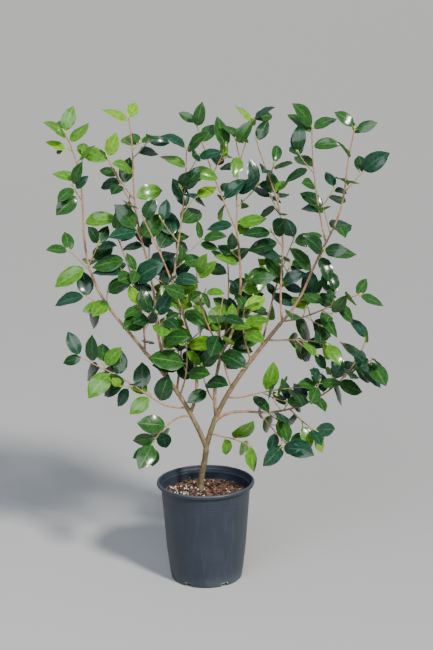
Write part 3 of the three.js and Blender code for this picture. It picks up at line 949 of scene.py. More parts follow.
def finer_path(points: Array, at: Array) -> Array:
    """Draws a smooth curve through a path's points by the Catmull and Rom formula.

    Args:
        points: The path.
        at: Places along it, counted in points.

    Returns:
        The curve's points.
    """
    last = len(points) - 1
    i = np.minimum(at.astype(int), last - 1)
    f = (at - i)[:, None]
    before, here, ahead, after = (points[np.clip(i + shift, 0, last)] for shift in (-1, 0, 1, 2))
    return 0.5 * (2 * here + (ahead - before) * f + (2 * before - 5 * here + 4 * ahead - after) * f ** 2
                  + (3 * here - before - 3 * ahead + after) * f ** 3)


def wave(angle: Array, place: Array, seed: int) -> Array:
    """A smooth uneven pattern round and along a limb: the mean of a few turned sines.

    Args:
        angle: Angle round the limb.
        place: Place along it, in mm.
        seed: Number that sets the pattern.

    Returns:
        Numbers from -1 to 1.
    """
    sines = []
    for k in range(WAVES):
        lobes = int(deal(WAVE_LOBES, seed, k, Draw.WAVE_COUNT))
        pitch = deal(WAVE_PITCH, seed, k, Draw.WAVE_PITCH)
        sines.append(np.sin(lobes * angle + pitch * place + ANY_TURN * chance(seed, k, Draw.WAVE_START)))
    return np.mean(sines, axis=0)


@dataclass(frozen=True)
class Relief:
    """How a kind of limb is drawn: points round it, distance between rings, and its unevenness in mm.

    Collar and aged are shares of the base's half thickness. They fade out over their lengths: collar is
    what the limb is thicker by at its base, and aged what its bark looks as if it were thicker by.
    """

    columns: int
    spacing: float
    rough: float
    node_gap: float = 26.0
    node_length: float = 2.2
    node_rise: Pair = (0.1, 0.07)
    collar: float = 0.25
    collar_length: float = 9.0
    aged: float = 1.25
    aged_length: float = 14.0
    flare: float = 0.0
    flare_share: float = 0.125
    flare_lobes: int = 3
    flare_unevenness: float = 0.45
    flare_turn: float = 1.1
    dome: tuple[float, ...] = (22.0, 42.0, 60.0, 76.0, 88.0)


def limb_tube(points: Array, limb: Union[Limb, Stem], relief: Relief, seed: int, lead: Array) -> Shape:
    """Builds a limb with its bark's relief and a domed tip.

    The half thickness at a share s is base + (tip - base) s, plus the uneven pattern times rough, plus a
    low swelling at each node, plus a collar that fades out over the first bit, plus the root flare. Over
    the last bit it is multiplied by the cosine of the dome's angle.

    Args:
        points: The limb's path.
        limb: Its half thickness at its base and tip.
        relief: How this kind of limb is drawn.
        seed: Number that sets its unevenness.
        lead: Points before its base, inside the limb that it goes on from, or none.

    Returns:
        A closed tube, whose girth is its half thickness in mm, and more at a collar to look as old.
    """
    base, tip, first = limb.base, limb.tip, len(lead)
    whole = np.concatenate([lead, points])
    last = len(whole) - 1
    length = np.linalg.norm(np.diff(whole, axis=0), axis=1).sum()
    dome = np.radians(relief.dome)
    straight = np.linspace(0, 1 - tip / length, max(4, int(length / relief.spacing)))
    s = np.concatenate([straight, 1 - tip / length * (1 - np.sin(dome))])
    round_off = np.concatenate([np.ones(len(straight)), np.cos(dome)])[:, None]
    centre = finer_path(whole, s * last)
    way = unit(np.gradient(centre, axis=0))
    axis = np.array([0.0, 1.0, 0.0]) if abs(way[:, 1]).mean() < 0.7 else np.array([1.0, 0.0, 0.0])
    across = unit(np.cross(way, axis))
    over = np.cross(across, way)
    angle = circle(relief.columns)[None]
    place = (s * length)[:, None]
    share = np.clip((s * last - first) / (last - first), 0, 1)[:, None]
    girth = base + (tip - base) * share
    node = np.abs((place / relief.node_gap + chance(seed, Draw.NODE_START)) % 1 - 0.5) * relief.node_gap
    radius = girth + relief.rough * wave(angle, place, seed)
    swelling = np.exp(-(node / relief.node_length) ** 2) * (1 + 0.5 * np.cos(angle - place))
    radius = radius + (relief.node_rise[0] + relief.node_rise[1] * base) * swelling
    if not first:
        radius = radius + relief.collar * base * np.exp(-place / relief.collar_length)
        girth = girth + relief.aged * base * np.exp(-place / relief.aged_length)
    lobes = 1 + relief.flare_unevenness * np.sin(relief.flare_lobes * angle + relief.flare_turn)
    radius = radius + relief.flare * np.maximum(0, 1 - share / relief.flare_share) ** 2 * lobes
    ring = -across[:, None] * np.sin(angle)[..., None] + over[:, None] * np.cos(angle)[..., None]
    shape = capped(centre[:, None] + ring * (radius * round_off)[..., None])
    shape.girth = np.concatenate([np.repeat(girth[:, 0], relief.columns), girth[0], girth[-1]])
    return shape


def spindles(start: Array, end: Array, radius: Array, profile: Sequence[tuple[float, float]],
             columns: int) -> Shape:
    """Builds many small closed bodies of revolution at once, such as petioles and buds.

    Args:
        start: Where each begins, one row each.
        end: Where each ends.
        radius: The half thickness of each.
        profile: Share of the length and share of the half thickness of each ring.
        columns: Points round each.

    Returns:
        One joined shape.
    """
    way = unit(end - start)
    across = unit(np.cross(way, ODD_WAY))[:, None, None]
    over = np.cross(across, way[:, None, None])
    share, half = np.array(profile).T
    angle = circle(columns)[:, None]
    centre = start[:, None] + (end - start)[:, None] * share[None, :, None]
    ring = over * np.cos(angle) - across * np.sin(angle)
    return capped(centre[:, :, None] + ring * (radius[:, None] * half)[:, :, None, None])


# Materials


class Value:
    """A number, vector or colour that nodes work out, so that a finish reads as plain sums."""

    def __init__(self, nodes: "Nodes", socket: bpy.types.NodeSocket) -> None:
        """Keeps the nodes and the socket that gives it."""
        self.nodes = nodes
        self.socket = socket

    def apply(self, operation: str, other: Source = 0.0) -> "Value":
        """Works out a function of this number, or of it and another."""
        return self.nodes.value("Math", 0, {0: self, 1: other}, operation=operation)

    __add__ = partialmethod(apply, "ADD")
    __sub__ = partialmethod(apply, "SUBTRACT")
    __truediv__ = partialmethod(apply, "DIVIDE")
    __pow__ = partialmethod(apply, "POWER")
    __mod__ = partialmethod(apply, "FLOORED_MODULO")
    __gt__ = partialmethod(apply, "GREATER_THAN")
    __abs__ = partialmethod(apply, "ABSOLUTE")

    def __rsub__(self, other: float) -> "Value":
        """Takes it from a number."""
        return self.nodes.value("Math", 0, {0: other, 1: self}, operation="SUBTRACT")

    def __mul__(self, other: Source) -> "Value":
        """Multiplies it by a number, or a vector's axes by three."""
        kind = "VectorMath" if isinstance(other, tuple) else "Math"
        return self.nodes.value(kind, 0, {0: self, 1: other}, operation="MULTIPLY")

    def step(self, low: float, high: float, to_low: float = 0.0, to_high: float = 1.0) -> "Value":
        """Runs smoothly from to_low to to_high as it goes from low to high."""
        ends = {"Value": self, "From Min": low, "From Max": high, "To Min": to_low, "To Max": to_high}
        return self.nodes.value("MapRange", "Result", ends, interpolation_type="SMOOTHSTEP")


@dataclass
class Nodes:
    """The nodes of a material or of the surround."""

    tree: bpy.types.NodeTree

    def add(self, kind: str, inputs: dict[Union[int, str], Source], **settings: str) -> bpy.types.Node:
        """Adds one node.

        Args:
            kind: Its kind.
            inputs: What feeds each input, by number or name.
            settings: Its own settings.

        Returns:
            The node.
        """
        node = self.tree.nodes.new("ShaderNode" + kind)
        for name, setting in settings.items():
            setattr(node, name, setting)
        for key, source in inputs.items():
            self.feed(node.inputs[key], source)
        return node

    def value(self, kind: str, output: Union[int, str], inputs: dict[Union[int, str], Source],
              **settings: str) -> Value:
        """Adds one node and gives one of its outputs."""
        return Value(self, self.add(kind, inputs, **settings).outputs[output])

    def feed(self, socket: bpy.types.NodeSocket, source: Source) -> None:
        """Gives a socket a link, a number, a vector or a colour.

        Args:
            socket: The socket.
            source: What it gets.
        """
        if isinstance(source, Value):
            self.tree.links.new(source.socket, socket)
        else:
            socket.default_value = (*source, 1.0) if socket.type == "RGBA" else source

    def coordinates(self, kind: str = "Object") -> Value:
        """Gives the object's own coordinates, in metres, or others by their name."""
        return self.value("TexCoord", kind, {})

    def split(self, vector: Value) -> tuple[Value, ...]:
        """Splits a vector into its three numbers."""
        return tuple(Value(self, socket) for socket in self.add("SeparateXYZ", {0: vector}).outputs)

    def noise(self, vector: Value, scale: float, detail: float = 3.0, rough: float = 0.55) -> Value:
        """Gives soft noise from 0 to 1."""
        inputs = {"Vector": vector, "Scale": scale, "Detail": detail, "Roughness": rough}
        return self.value("TexNoise", "Fac", inputs)

    def cells(self, vector: Value, scale: float, feature: str = "F1") -> Value:
        """Gives the distance to the nearest cell's middle, or to its edge."""
        return self.value("TexVoronoi", "Distance", {"Vector": vector, "Scale": scale}, feature=feature)

    def mix(self, factor: Value, a: Source, b: Source) -> Value:
        """Mixes two colours."""
        return self.value("Mix", 2, {0: factor, 6: a, 7: b}, data_type="RGBA")

    def layered(self, colour: Source, *layers: tuple[Value, float, Source]) -> Source:
        """Lays other colours over a first one.

        Args:
            colour: The first colour.
            layers: For each, a mask from 0 to 1, how much of it shows where the mask is 1, and the colour.

        Returns:
            The colour that results.
        """
        for mask, amount, other in layers:
            colour = self.mix(mask * amount, colour, other)
        return colour


class Shader(Nodes):
    """One procedural material on a Principled surface."""

    def __init__(self, name: str, roughness: float, specular: float) -> None:
        """Makes the material with its plain values.

        Args:
            name: Name of the finish.
            roughness: Roughness where nothing is linked to it.
            specular: Specular level.
        """
        self.material = bpy.data.materials.new(name)
        self.material.use_nodes = True
        super().__init__(self.material.node_tree)
        self.tree.nodes.clear()
        plain = {"Roughness": roughness, "Specular IOR Level": specular, "Coat Roughness": 0.15}
        self.surface = self.add("BsdfPrincipled", plain)
        self.add("OutputMaterial", {"Surface": Value(self, self.surface.outputs["BSDF"])})

    def set(self, socket: str, source: Source) -> None:
        """Gives one of the surface's sockets a value or a link."""
        self.feed(self.surface.inputs[socket], source)

    def bump(self, height: Value, strength: float, distance: float) -> None:
        """Bumps the surface by a height from 0 to 1 times a distance in metres."""
        inputs = {"Strength": strength, "Distance": distance, "Height": height}
        self.set("Normal", self.value("Bump", "Normal", inputs))


def shaded(colour: Colour, share: float) -> Colour:
    """Makes a colour darker or paler."""
    return tuple(share * part for part in colour)


@dataclass(frozen=True)
class LeafFinish:
    """A waxy leaf: its upper face, its paler under face and its pale veins."""

    upper: Colour
    under: Colour
    vein: Colour
    roughness: float
    coat: float = 0.45
    specular: float = 0.14
    vein_pairs: float = 8.0
    vein_bow: float = 1.35
    vein_forward: float = 0.2
    net_scale: float = 42.0
    relief: float = 0.26

    def make(self, name: str) -> bpy.types.Material:
        """Builds the material from the leaf's own UV: x runs along it and y across its two faces.

        Pale side veins run out and forward in pairs from the midrib, and fade before the margin.

        Args:
            name: Name of the finish.

        Returns:
            The material.
        """
        shader = Shader(name, self.roughness, self.specular)
        place = shader.coordinates("UV")
        u, v, _ = shader.split(place)
        is_upper = v > 0.5
        w = (v - (is_upper * (UV_UPPER - UV_UNDER) + UV_UNDER)) / UV_HALF
        out = abs(w)
        midrib = (1.0 - out / u.step(0.0, 1.0, 0.03, 0.06)).step(0.1, 0.6)
        forward = (out ** self.vein_bow) * self.vein_forward
        phase = ((u - forward) * self.vein_pairs + (w > 0.0) * 0.5).apply("FRACT")
        veins = abs(phase - 0.5).step(0.07, 0.0) * out.step(0.95, 0.5)
        net = shader.cells(place * (1.0, 0.5, 1.0), self.net_scale, "DISTANCE_TO_EDGE").step(0.0, 0.12)
        soft = shader.noise(place * (3.0, 5.0, 1.0), 2.0, 2.0)

        upper = shader.layered(
            shader.mix(soft.step(0.3, 0.7), shaded(self.upper, 0.72), shaded(self.upper, 1.3)),
            (veins, 0.16, self.vein), (out.step(0.93, 1.0), 0.22, self.vein), (midrib, 0.5, self.vein))
        under = shader.layered(
            self.under,
            (veins, 0.45, self.vein), (net, 0.12, shaded(self.under, 0.7)), (midrib, 0.85, self.vein))
        shader.set("Base Color", shader.mix(is_upper, under, upper))
        shader.set("Coat Weight", is_upper * self.coat)
        shader.set("Roughness", soft * 0.12 + (self.roughness - 0.06) + (1.0 - is_upper) * 0.4)
        swell = (phase * math.tau).apply("COSINE") * -0.22 * out.step(1.0, 0.3)
        height = (swell - midrib * 0.6 + net * 0.03) * (is_upper * 2.0 - 1.0)
        shader.bump(height, self.relief, METRE)
        return shader.material


@dataclass(frozen=True)
class Age:
    """Bark of one age: the half thickness in mm of the limbs that have it, and its colours."""

    girth: float
    base: Colour
    pale: Colour
    dark: Colour


@dataclass(frozen=True)
class BarkFinish:
    """Bark that goes from green shoots to olive brown as a limb gets thicker, with cracks along it."""

    ages: tuple[Age, ...] = (
        Age(1.15, (0.26, 0.3, 0.08), (0.34, 0.34, 0.12), (0.2, 0.16, 0.06)),
        Age(1.6, (0.29, 0.165, 0.08), (0.37, 0.24, 0.12), (0.17, 0.09, 0.04)),
        Age(3.0, (0.29, 0.16, 0.09), (0.4, 0.25, 0.155), (0.14, 0.07, 0.04)),
        Age(5.0, (0.245, 0.163, 0.086), (0.37, 0.258, 0.15), (0.12, 0.074, 0.04)),
        Age(7.6, (0.096, 0.074, 0.034), (0.17, 0.133, 0.068), (0.042, 0.031, 0.015)),
    )
    crack: float = 0.6
    roughness: float = 0.72

    def make(self) -> bpy.types.Material:
        """Builds the material from Object coordinates and the limb's girth.

        Returns:
            The material.
        """
        shader = Shader("bark", self.roughness, 0.35)
        place = shader.coordinates()
        girth = shader.value("Attribute", "Fac", {}, attribute_name="girth")
        blotch = shader.noise(place, 95.0, 4.0, 0.6).step(0.36, 0.66)
        lengthwise = shader.noise(place * (1.0, 1.0, 0.16), 540.0, 3.0, 0.6)
        rings = shader.noise(place * (0.25, 0.25, 1.0), 440.0, 2.0, 0.5)
        cracks = (lengthwise.step(0.52, 0.7) * self.crack).apply(
            "MAXIMUM", rings.step(0.62, 0.74) * (0.4 * self.crack))
        tones = [shader.mix(cracks, shader.mix(blotch, age.base, age.pale), age.dark) for age in self.ages]
        colour = tones[0]
        for younger, older, tone in zip(self.ages, self.ages[1:], tones[1:]):
            colour = shader.mix(girth.step(younger.girth, older.girth), colour, tone)
        shader.set("Base Color", colour)
        shader.bump(blotch * 0.25 - lengthwise.step(0.45, 0.72) * 0.6 + rings * 0.35, 0.6, 0.0006)
        return shader.material


@dataclass(frozen=True)
class GreenFinish:
    """A soft green or tan petiole or bud."""

    name: str
    base: Colour
    other: Colour
    roughness: float = 0.45

    def make(self) -> bpy.types.Material:
        """Builds the material: two colours blended by slow noise.

        Returns:
            The material.
        """
        shader = Shader(self.name, self.roughness, 0.45)
        place = shader.coordinates()
        blotch = shader.noise(place, 60.0, 2.0).step(0.35, 0.65)
        shader.set("Base Color", shader.mix(blotch, self.base, self.other))
        shader.bump(shader.noise(place, 900.0, 2.0), 0.2, 0.0003)
        return shader.material


@dataclass(frozen=True)
class PlasticFinish:
    """Dark moulded plastic that has weathered outdoors: dusty, faintly streaked and scuffed."""

    name: str
    base: Colour
    dust: Colour
    scuff: Colour

    def make(self, pot: "Pot") -> bpy.types.Material:
        """Builds the material from Object coordinates.

        Args:
            pot: The pot whose sizes place the worn edges of the notches and of the rim.

        Returns:
            The material.
        """
        shader = Shader(self.name, 0.48, 0.45)
        place = shader.coordinates()
        x, y, z = shader.split(place)
        cloud = shader.noise(place, 14.0, 4.0, 0.6)
        speck = shader.noise(place, 900.0, 2.0, 0.6)
        streak = shader.noise(place * (1.0, 1.0, 0.06), 130.0, 3.0, 0.6)

        turn = math.tau / pot.notches
        cell = x.apply("ARCTAN2", y * -1.0) % turn - turn / 2
        beside = abs(cell * (pot.foot_radius * METRE)) - pot.notch_width / 2 * METRE
        off = beside.apply("MAXIMUM", z - pot.notch_height * METRE)
        worn = off + shader.noise(place, 260.0, 3.0) * -0.004
        edge = worn.step(0.0006, -0.0012) * off.step(-0.004, -0.001)
        patchy = shader.noise(place, 120.0, 3.0).step(0.42, 0.62)
        spots = shader.cells(place, 26.0).step(0.07, 0.03) * shader.noise(place, 9.0, 1.0).step(0.56, 0.62)

        shader.set("Base Color", shader.layered(
            shader.mix(cloud.step(0.35, 0.7), self.base, shaded(self.base, 1.25)),
            (streak.step(0.5, 0.72), 0.07, self.dust),
            (speck.step(0.62, 0.74), 0.1, self.dust),
            (z.step(0.045, 0.0) * cloud.step(0.3, 0.6), 0.22, self.dust),
            (z.step((pot.height - 4) * METRE, pot.height * METRE), 0.3, self.dust),
            (edge * patchy, 0.8, self.scuff),
            (spots, 0.55, self.scuff),
        ))
        shader.set("Roughness", cloud * 0.2 + 0.36)
        shader.bump(speck * 0.4 + streak, 0.12, 0.0006)
        return shader.material


@dataclass(frozen=True)
class GrainFinish:
    """Rough grains: bark chips, pumice or the mix between them."""

    name: str
    base: Colour
    other: Colour
    scale: float
    roughness: float = 0.9

    def make(self) -> bpy.types.Material:
        """Builds the material from Object coordinates.

        Returns:
            The material.
        """
        shader = Shader(self.name, self.roughness, 0.25)
        place = shader.coordinates()
        grain = shader.noise(place, self.scale, 5.0, 0.65)
        pit = shader.cells(place, 1.4 * self.scale)
        shader.set("Base Color", shader.layered(
            shader.mix(grain.step(0.35, 0.66), self.base, self.other),
            (pit.step(0.3, 0.0), 0.3, shaded(self.base, 0.4))))
        shader.bump(grain + pit * 0.5, 0.7, 0.0012)
        return shader.material


# Pieces


@dataclass
class Pot:
    """The round nursery pot: a tapered wall with a rounded foot, a stout bead and six drain notches."""

    height: float = 285.0
    rim_radius: float = 138.0
    rim_inner: float = 131.0
    bead_foot: float = 274.0
    bead_round: float = 4.6
    bead_under_round: float = 4.0
    lip_round: float = 2.0
    neck_radius: float = 127.0
    wall: float = 2.8
    foot_radius: float = 101.0
    foot_round: float = 3.2
    foot_bulge: float = 3.0
    base_flat: float = 70.0
    floor: float = 4.0
    floor_flats: Pair = (92.0, 50.0)
    notches: int = 6
    first_notch: float = 30.0
    notch_width: float = 18.0
    notch_height: float = 10.0
    notch_round: float = 3.0
    notch_cut: Pair = (-7.0, 9.0)
    notch_below: float = 5.0
    columns: int = 168
    sharp: float = 38.0
    outer_rings: tuple[float, ...] = (262.0, 245.0, 238.0, 228.0)
    groove: Pair = (0.45, 1.1)
    inner_rings: tuple[float, ...] = (266.0, 247.0, 228.0)
    ridge: Pair = (0.7, 1.2)
    foot_stations: tuple[float, ...] = (5.0, 8.0, 12.0, 20.0)
    plain_stations: tuple[float, float, float] = (28.0, 216.0, 8.0)
    ringed_stations: tuple[float, float, float] = (218.0, 272.5, 0.9)
    throat: Profile = ((130.6, 279.0), (128.6, 274.0), (125.0, 269.5))
    wall_heights: tuple[float, ...] = (4.0, 24.0, 90.0, 266.0, 280.0)
    wall_radii: tuple[float, ...] = (101.0, 104.5, 112.6, 126.0, 127.1)
    finish: PlasticFinish = PlasticFinish(
        "dark_moulded_plastic", (0.0155, 0.023, 0.0355), (0.14, 0.155, 0.17), (0.42, 0.42, 0.41))

    def outside(self, z: Array) -> Array:
        """Half width of the wall's outside at a height: the named widths, eased over 12 mm."""
        eased = [np.interp(z + shift, self.wall_heights, self.wall_radii) for shift in (-6, -3, 0, 3, 6)]
        return np.mean(eased, axis=0)

    def profile(self) -> Array:
        """Works out the pot's section as (half width, height) from the middle below to the middle inside.

        Both faces of the wall follow the eased named widths. Grooves run round the outside and low ridges
        round the inside, each a bell curve of the height with a named depth and width. The foot, the bead
        and the lip are arcs. Stations are heights, listed or given as a first, a last and a step.

        Returns:
            Rows of half width and height.
        """
        low = [self.foot_round, *self.foot_stations]
        high = np.concatenate([low, np.arange(*self.plain_stations), np.arange(*self.ringed_stations)])
        outer = np.stack([self.outside(high) - bells(high, self.outer_rings, *self.groove), high], axis=1)
        inside = high[::-1][4:-1]
        ridge = bells(inside, self.inner_rings, *self.ridge)
        inner = np.stack([self.outside(inside) - self.wall - ridge, inside], axis=1)
        foot, under, bead, lip = self.foot_round, self.bead_under_round, self.bead_round, self.lip_round
        return np.concatenate([
            [(self.base_flat, 0.0)],
            arc((self.foot_radius - foot, foot), (self.foot_bulge, foot), -90)[:-1],
            outer,
            [(self.neck_radius, self.bead_foot)],
            arc((self.rim_radius - under, self.bead_foot + under), (under, under), -90),
            arc((self.rim_radius - bead, self.height - bead), (bead, bead), 0),
            arc((self.rim_inner + lip, self.height - lip), (lip, lip), 90),
            self.throat,
            inner,
            [(flat, self.floor) for flat in self.floor_flats],
        ])

    def cutter(self) -> Shape:
        """Works out the blocks that cut the drain notches: a rounded door outline drawn out radially.

        Returns:
            The joined blocks.
        """
        half, round_off = self.notch_width / 2, self.notch_round
        right = arc((half - round_off, self.notch_height - round_off), (round_off, round_off), 0, 4)
        foot = np.array([(half, -self.notch_below)])
        mirror = np.array([-1, 1])
        outline = np.concatenate([foot, right, right[::-1] * mirror, foot * mirror])
        turn = np.radians(self.first_notch) + circle(self.notches)
        level = np.zeros(self.notches)
        out = np.stack([np.sin(turn), -np.cos(turn), level], axis=1)[:, None]
        aside = np.stack([np.cos(turn), np.sin(turn), level], axis=1)[:, None]
        flat = outline[:, :1] * aside + outline[:, 1:] * np.array([0, 0, 1.0])
        return capped(np.stack([flat + out * (self.foot_radius + cut) for cut in self.notch_cut], axis=1))

    def build(self) -> None:
        """Turns the section about the pot's axis, cuts the notches and dresses the pot."""
        section = self.profile()
        angle = circle(self.columns)
        rings = np.stack([section[:, :1] * np.cos(angle), section[:, :1] * np.sin(angle),
                          np.repeat(section[:, 1:], self.columns, axis=1)], axis=-1)
        material = self.finish.make(self)
        pot = put_mesh("nursery_pot", capped(rings), material)
        cutter = put_mesh("notch_cutter", self.cutter(), material)
        cut = pot.modifiers.new("notches", "BOOLEAN")
        cut.operation = "DIFFERENCE"
        cut.solver = "EXACT"
        cut.object = cutter
        mesh = bpy.data.meshes.new_from_object(pot.evaluated_get(bpy.context.evaluated_depsgraph_get()))
        pot.modifiers.clear()
        pot.data = mesh
        bpy.data.objects.remove(cutter)
        mesh.set_sharp_from_angle(angle=math.radians(self.sharp))
        own(pot, ["pot"])


@dataclass
class PottingMix:
    """The bark mix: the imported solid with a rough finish, under a loose layer of chips and pumice."""

    radius: float = 118.0
    wall_radius: float = 122.0
    flat_radius: float = 56.0
    drop: float = 15.0
    heap_place: tuple[float, float] = (32.0, 44.0)
    heap_height: float = 9.0
    heap_width: float = 30.0
    heaped_angle: float = 1.08 * np.pi
    outward: float = 0.96
    chips: int = 2000
    chip_length: Pair = (4.0, 11.0)
    chip_shortness: float = 1.6
    chip_width: Pair = (0.2, 0.38)
    chip_thickness: Pair = (0.35, 0.8)
    chip_tilt: Pair = (0.3, 0.5)
    chip_lift: Pair = (1.2, 3.4)
    chip_stations: Profile = ((-0.5, 0.55), (-0.2, 1.0), (0.22, 0.95), (0.5, 0.45))
    chip_unevenness: Pair = (0.72, 1.2)
    chip_stagger: Pair = (-0.06, 0.06)
    pumice: int = 84
    pumice_size: Pair = (1.4, 3.4)
    pumice_unevenness: Pair = (0.75, 1.2)
    pumice_lift: float = 4.2
    seed: int = 7

    def surface(self, x: Array, y: Array) -> Array:
        """Works out the mix's height: level in the middle, lower at the wall, with one low heap.

        Args:
            x: Places across the pot.
            y: The same places from front to back.

        Returns:
            The heights.
        """
        out = np.clip((np.hypot(x, y) - self.flat_radius) / (self.wall_radius - self.flat_radius), 0, 1)
        off = np.hypot(x - self.heap_place[0], y - self.heap_place[1])
        return MIX_TOP - self.drop * out + bells(off, [0.0], self.heap_height, self.heap_width)

    def scatter(self, count: int, rng: np.random.Generator, lean: float = 0.0) -> Array:
        """Deals places over the mix, evenly by area and kept off the wall.

        Args:
            count: How many.
            rng: Where the random numbers come from.
            lean: How widely they spread round the pot's left, in radians, or 0 for all round.

        Returns:
            The places.
        """
        radius = self.radius * np.sqrt(rng.random(count)) ** self.outward
        angle = rng.random(count) * 2 * np.pi
        if lean:
            angle = self.heaped_angle + rng.normal(0, lean, count)
        x, y = radius * np.cos(angle), radius * np.sin(angle)
        return np.stack([x, y, self.surface(x, y)], axis=1)

    def chip_shape(self, places: Array, rng: np.random.Generator) -> Shape:
        """Works out splinters of bark: a ring of six uneven corners carried along four stations each.

        Args:
            places: Where they lie.
            rng: Where the random numbers come from.

        Returns:
            The joined shape.
        """
        count, rows, columns = len(places), len(self.chip_stations), 6
        length = self.chip_length[0] + self.chip_length[1] * rng.random(count) ** self.chip_shortness
        wide = length * rng.uniform(*self.chip_width, count)
        thick = wide * rng.uniform(*self.chip_thickness, count)
        yaw = rng.uniform(0, 2 * np.pi, count)
        pitch, roll = (rng.normal(0, tilt, count) for tilt in self.chip_tilt)
        size = np.stack([length, wide, thick], axis=1)[:, None, None]
        station, taper = np.array(self.chip_stations).T[:, None, :, None]
        half = taper * rng.uniform(*self.chip_unevenness, (count, rows, columns))
        ahead = station + rng.uniform(*self.chip_stagger, (count, rows, columns))
        angle = circle(columns)
        local = size * np.stack([ahead, half * np.cos(angle), half * np.sin(angle)], axis=-1)
        matrix = rotations(2, yaw) @ rotations(1, pitch) @ rotations(0, roll)
        lift = np.zeros((count, 3))
        lift[:, 2] = self.chip_lift[0] + rng.uniform(0, self.chip_lift[1], count)
        return capped(np.einsum("nij,nrcj->nrci", matrix, local) + (places + lift)[:, None, None])

    def grain_shape(self, places: Array, rng: np.random.Generator) -> Shape:
        """Works out rounded uneven grains: rings of a ball, each point moved out or in a little.

        Args:
            places: Where they lie.
            rng: Where the random numbers come from.

        Returns:
            The joined shape.
        """
        count, rows, columns = len(places), 5, 7
        polar = (np.pi * (np.arange(rows) + 0.6) / (rows + 0.2))[:, None]
        angle = circle(columns)[None]
        ball = np.stack([np.sin(polar) * np.cos(angle), np.sin(polar) * np.sin(angle),
                         -np.cos(polar) + 0 * angle], axis=-1)
        size = rng.uniform(*self.pumice_size, count)[:, None, None]
        reach = size * rng.uniform(*self.pumice_unevenness, (count, rows, columns))
        middle = places + np.array([0, 0, self.pumice_lift])
        return capped(ball * reach[..., None] + middle[:, None, None])

    def build(self) -> None:
        """Dresses the solid and strews the chips and the pumice."""
        rng = np.random.default_rng(self.seed)
        materials = frame["nodes"]["potting_mix"].data.materials
        materials.clear()
        materials.append(GrainFinish("moist_mix", (0.03, 0.017, 0.01), (0.075, 0.04, 0.024), 180.0).make())
        kinds = (
            ("bark_chips_brown", (0.03, 0.018, 0.012), (0.08, 0.048, 0.032), 0.5),
            ("bark_chips_red", (0.085, 0.04, 0.025), (0.17, 0.085, 0.055), 0.34),
            ("bark_chips_tan", (0.19, 0.12, 0.085), (0.34, 0.24, 0.18), 0.16),
        )
        for name, base, other, share in kinds:
            shape = self.chip_shape(self.scatter(int(self.chips * share), rng), rng)
            own(put_mesh(name, shape, GrainFinish(name, base, other, 420.0).make(), False))
        spread = self.scatter(self.pumice // 3, rng)
        heaped = self.scatter(self.pumice - len(spread), rng, 0.5)
        shape = self.grain_shape(np.concatenate([spread, heaped]), rng)
        white = GrainFinish("white_pumice", (0.6, 0.58, 0.54), (0.85, 0.84, 0.8), 500.0)
        own(put_mesh("pumice_grains", shape, white.make()))


@dataclass
class Wood:
    """The trunk, the boughs and the stems and twigs of the crown, each limb a tube with its relief."""

    growth: Growth
    finish: BarkFinish = BarkFinish()
    trunk_relief: Relief = Relief(28, 2.2, 0.55, 34.0, flare=TRUNK_FLARE)
    bough_relief: Relief = Relief(16, 2.6, 0.28, 30.0, collar=0.22, aged=1.1)
    stem_relief: Relief = Relief(10, 3.6, 0.12)
    twig_relief: Relief = Relief(8, 4.0, 0.08)
    fine_relief: Relief = Relief(7, 4.5, 0.05)
    trunk_seed: int = 1
    bough_seed: int = 10
    stem_seed: int = 100

    def build(self) -> None:
        """Builds the limbs, each kind as one piece."""
        paths, bark = self.growth.limbs, self.finish.make()
        trunk = limb_tube(paths["trunk"], TRUNK, self.trunk_relief, self.trunk_seed, paths["trunk"][:0])
        own(put_mesh("trunk_wood", trunk, bark), ["trunk"])
        boughs = [limb_tube(paths[limb.name], limb, self.bough_relief, self.bough_seed + i,
                            lead_in(paths[limb.parent], paths[limb.name]))
                  for i, limb in enumerate(BOUGHS)]
        own(put_mesh("bough_wood", joined(boughs), bark), [f"bough_{limb.name}" for limb in BOUGHS])
        kinds = (
            ("stem_wood", (StemKind.MAIN, StemKind.LEADER), self.stem_relief),
            ("twig_wood", (StemKind.TWIG,), self.twig_relief),
            ("fine_twigs", (StemKind.FINE,), self.fine_relief),
        )
        for name, wanted, relief in kinds:
            tubes = [limb_tube(stem.points, stem, relief, self.stem_seed + number, stem.lead)
                     for number, stem in enumerate(self.growth.stems) if stem.kind in wanted]
            own(put_mesh(name, joined(tubes), bark), MASS_NODES)


class Tint(Enum):
    """The leaf colours, from the oldest to the youngest growth."""

    DEEP = "deep"
    BLUE = "blue_green"
    MID = "mid"
    FRESH = "fresh"
    LIME = "lime"


LEAF_FINISHES = {
    Tint.DEEP: LeafFinish((0.0075, 0.04, 0.012), (0.075, 0.19, 0.02), (0.14, 0.25, 0.05), 0.26),
    Tint.BLUE: LeafFinish((0.008, 0.044, 0.024), (0.075, 0.19, 0.03), (0.13, 0.25, 0.08), 0.28),
    Tint.MID: LeafFinish((0.016, 0.071, 0.013), (0.11, 0.25, 0.022), (0.2, 0.33, 0.055), 0.27),
    Tint.FRESH: LeafFinish((0.06, 0.178, 0.014), (0.17, 0.33, 0.028), (0.3, 0.45, 0.06), 0.29),
    Tint.LIME: LeafFinish((0.13, 0.3, 0.012), (0.28, 0.44, 0.04), (0.42, 0.58, 0.1), 0.33),
}


@dataclass(frozen=True)
class Spread:
    """A measure that differs from leaf to leaf: the least, and the span that chance adds to it.

    The two last numbers are what is added to each of them from the crown's foot to its top.
    """

    least: float
    span: float
    least_rise: float = 0.0
    span_rise: float = 0.0

    def deal(self, height: Array, dice: Array) -> Array:
        """Gives the measure of leaves at some heights from 0 to 1, by their dice from 0 to 1."""
        return self.least + self.least_rise * height + (self.span + self.span_rise * height) * dice


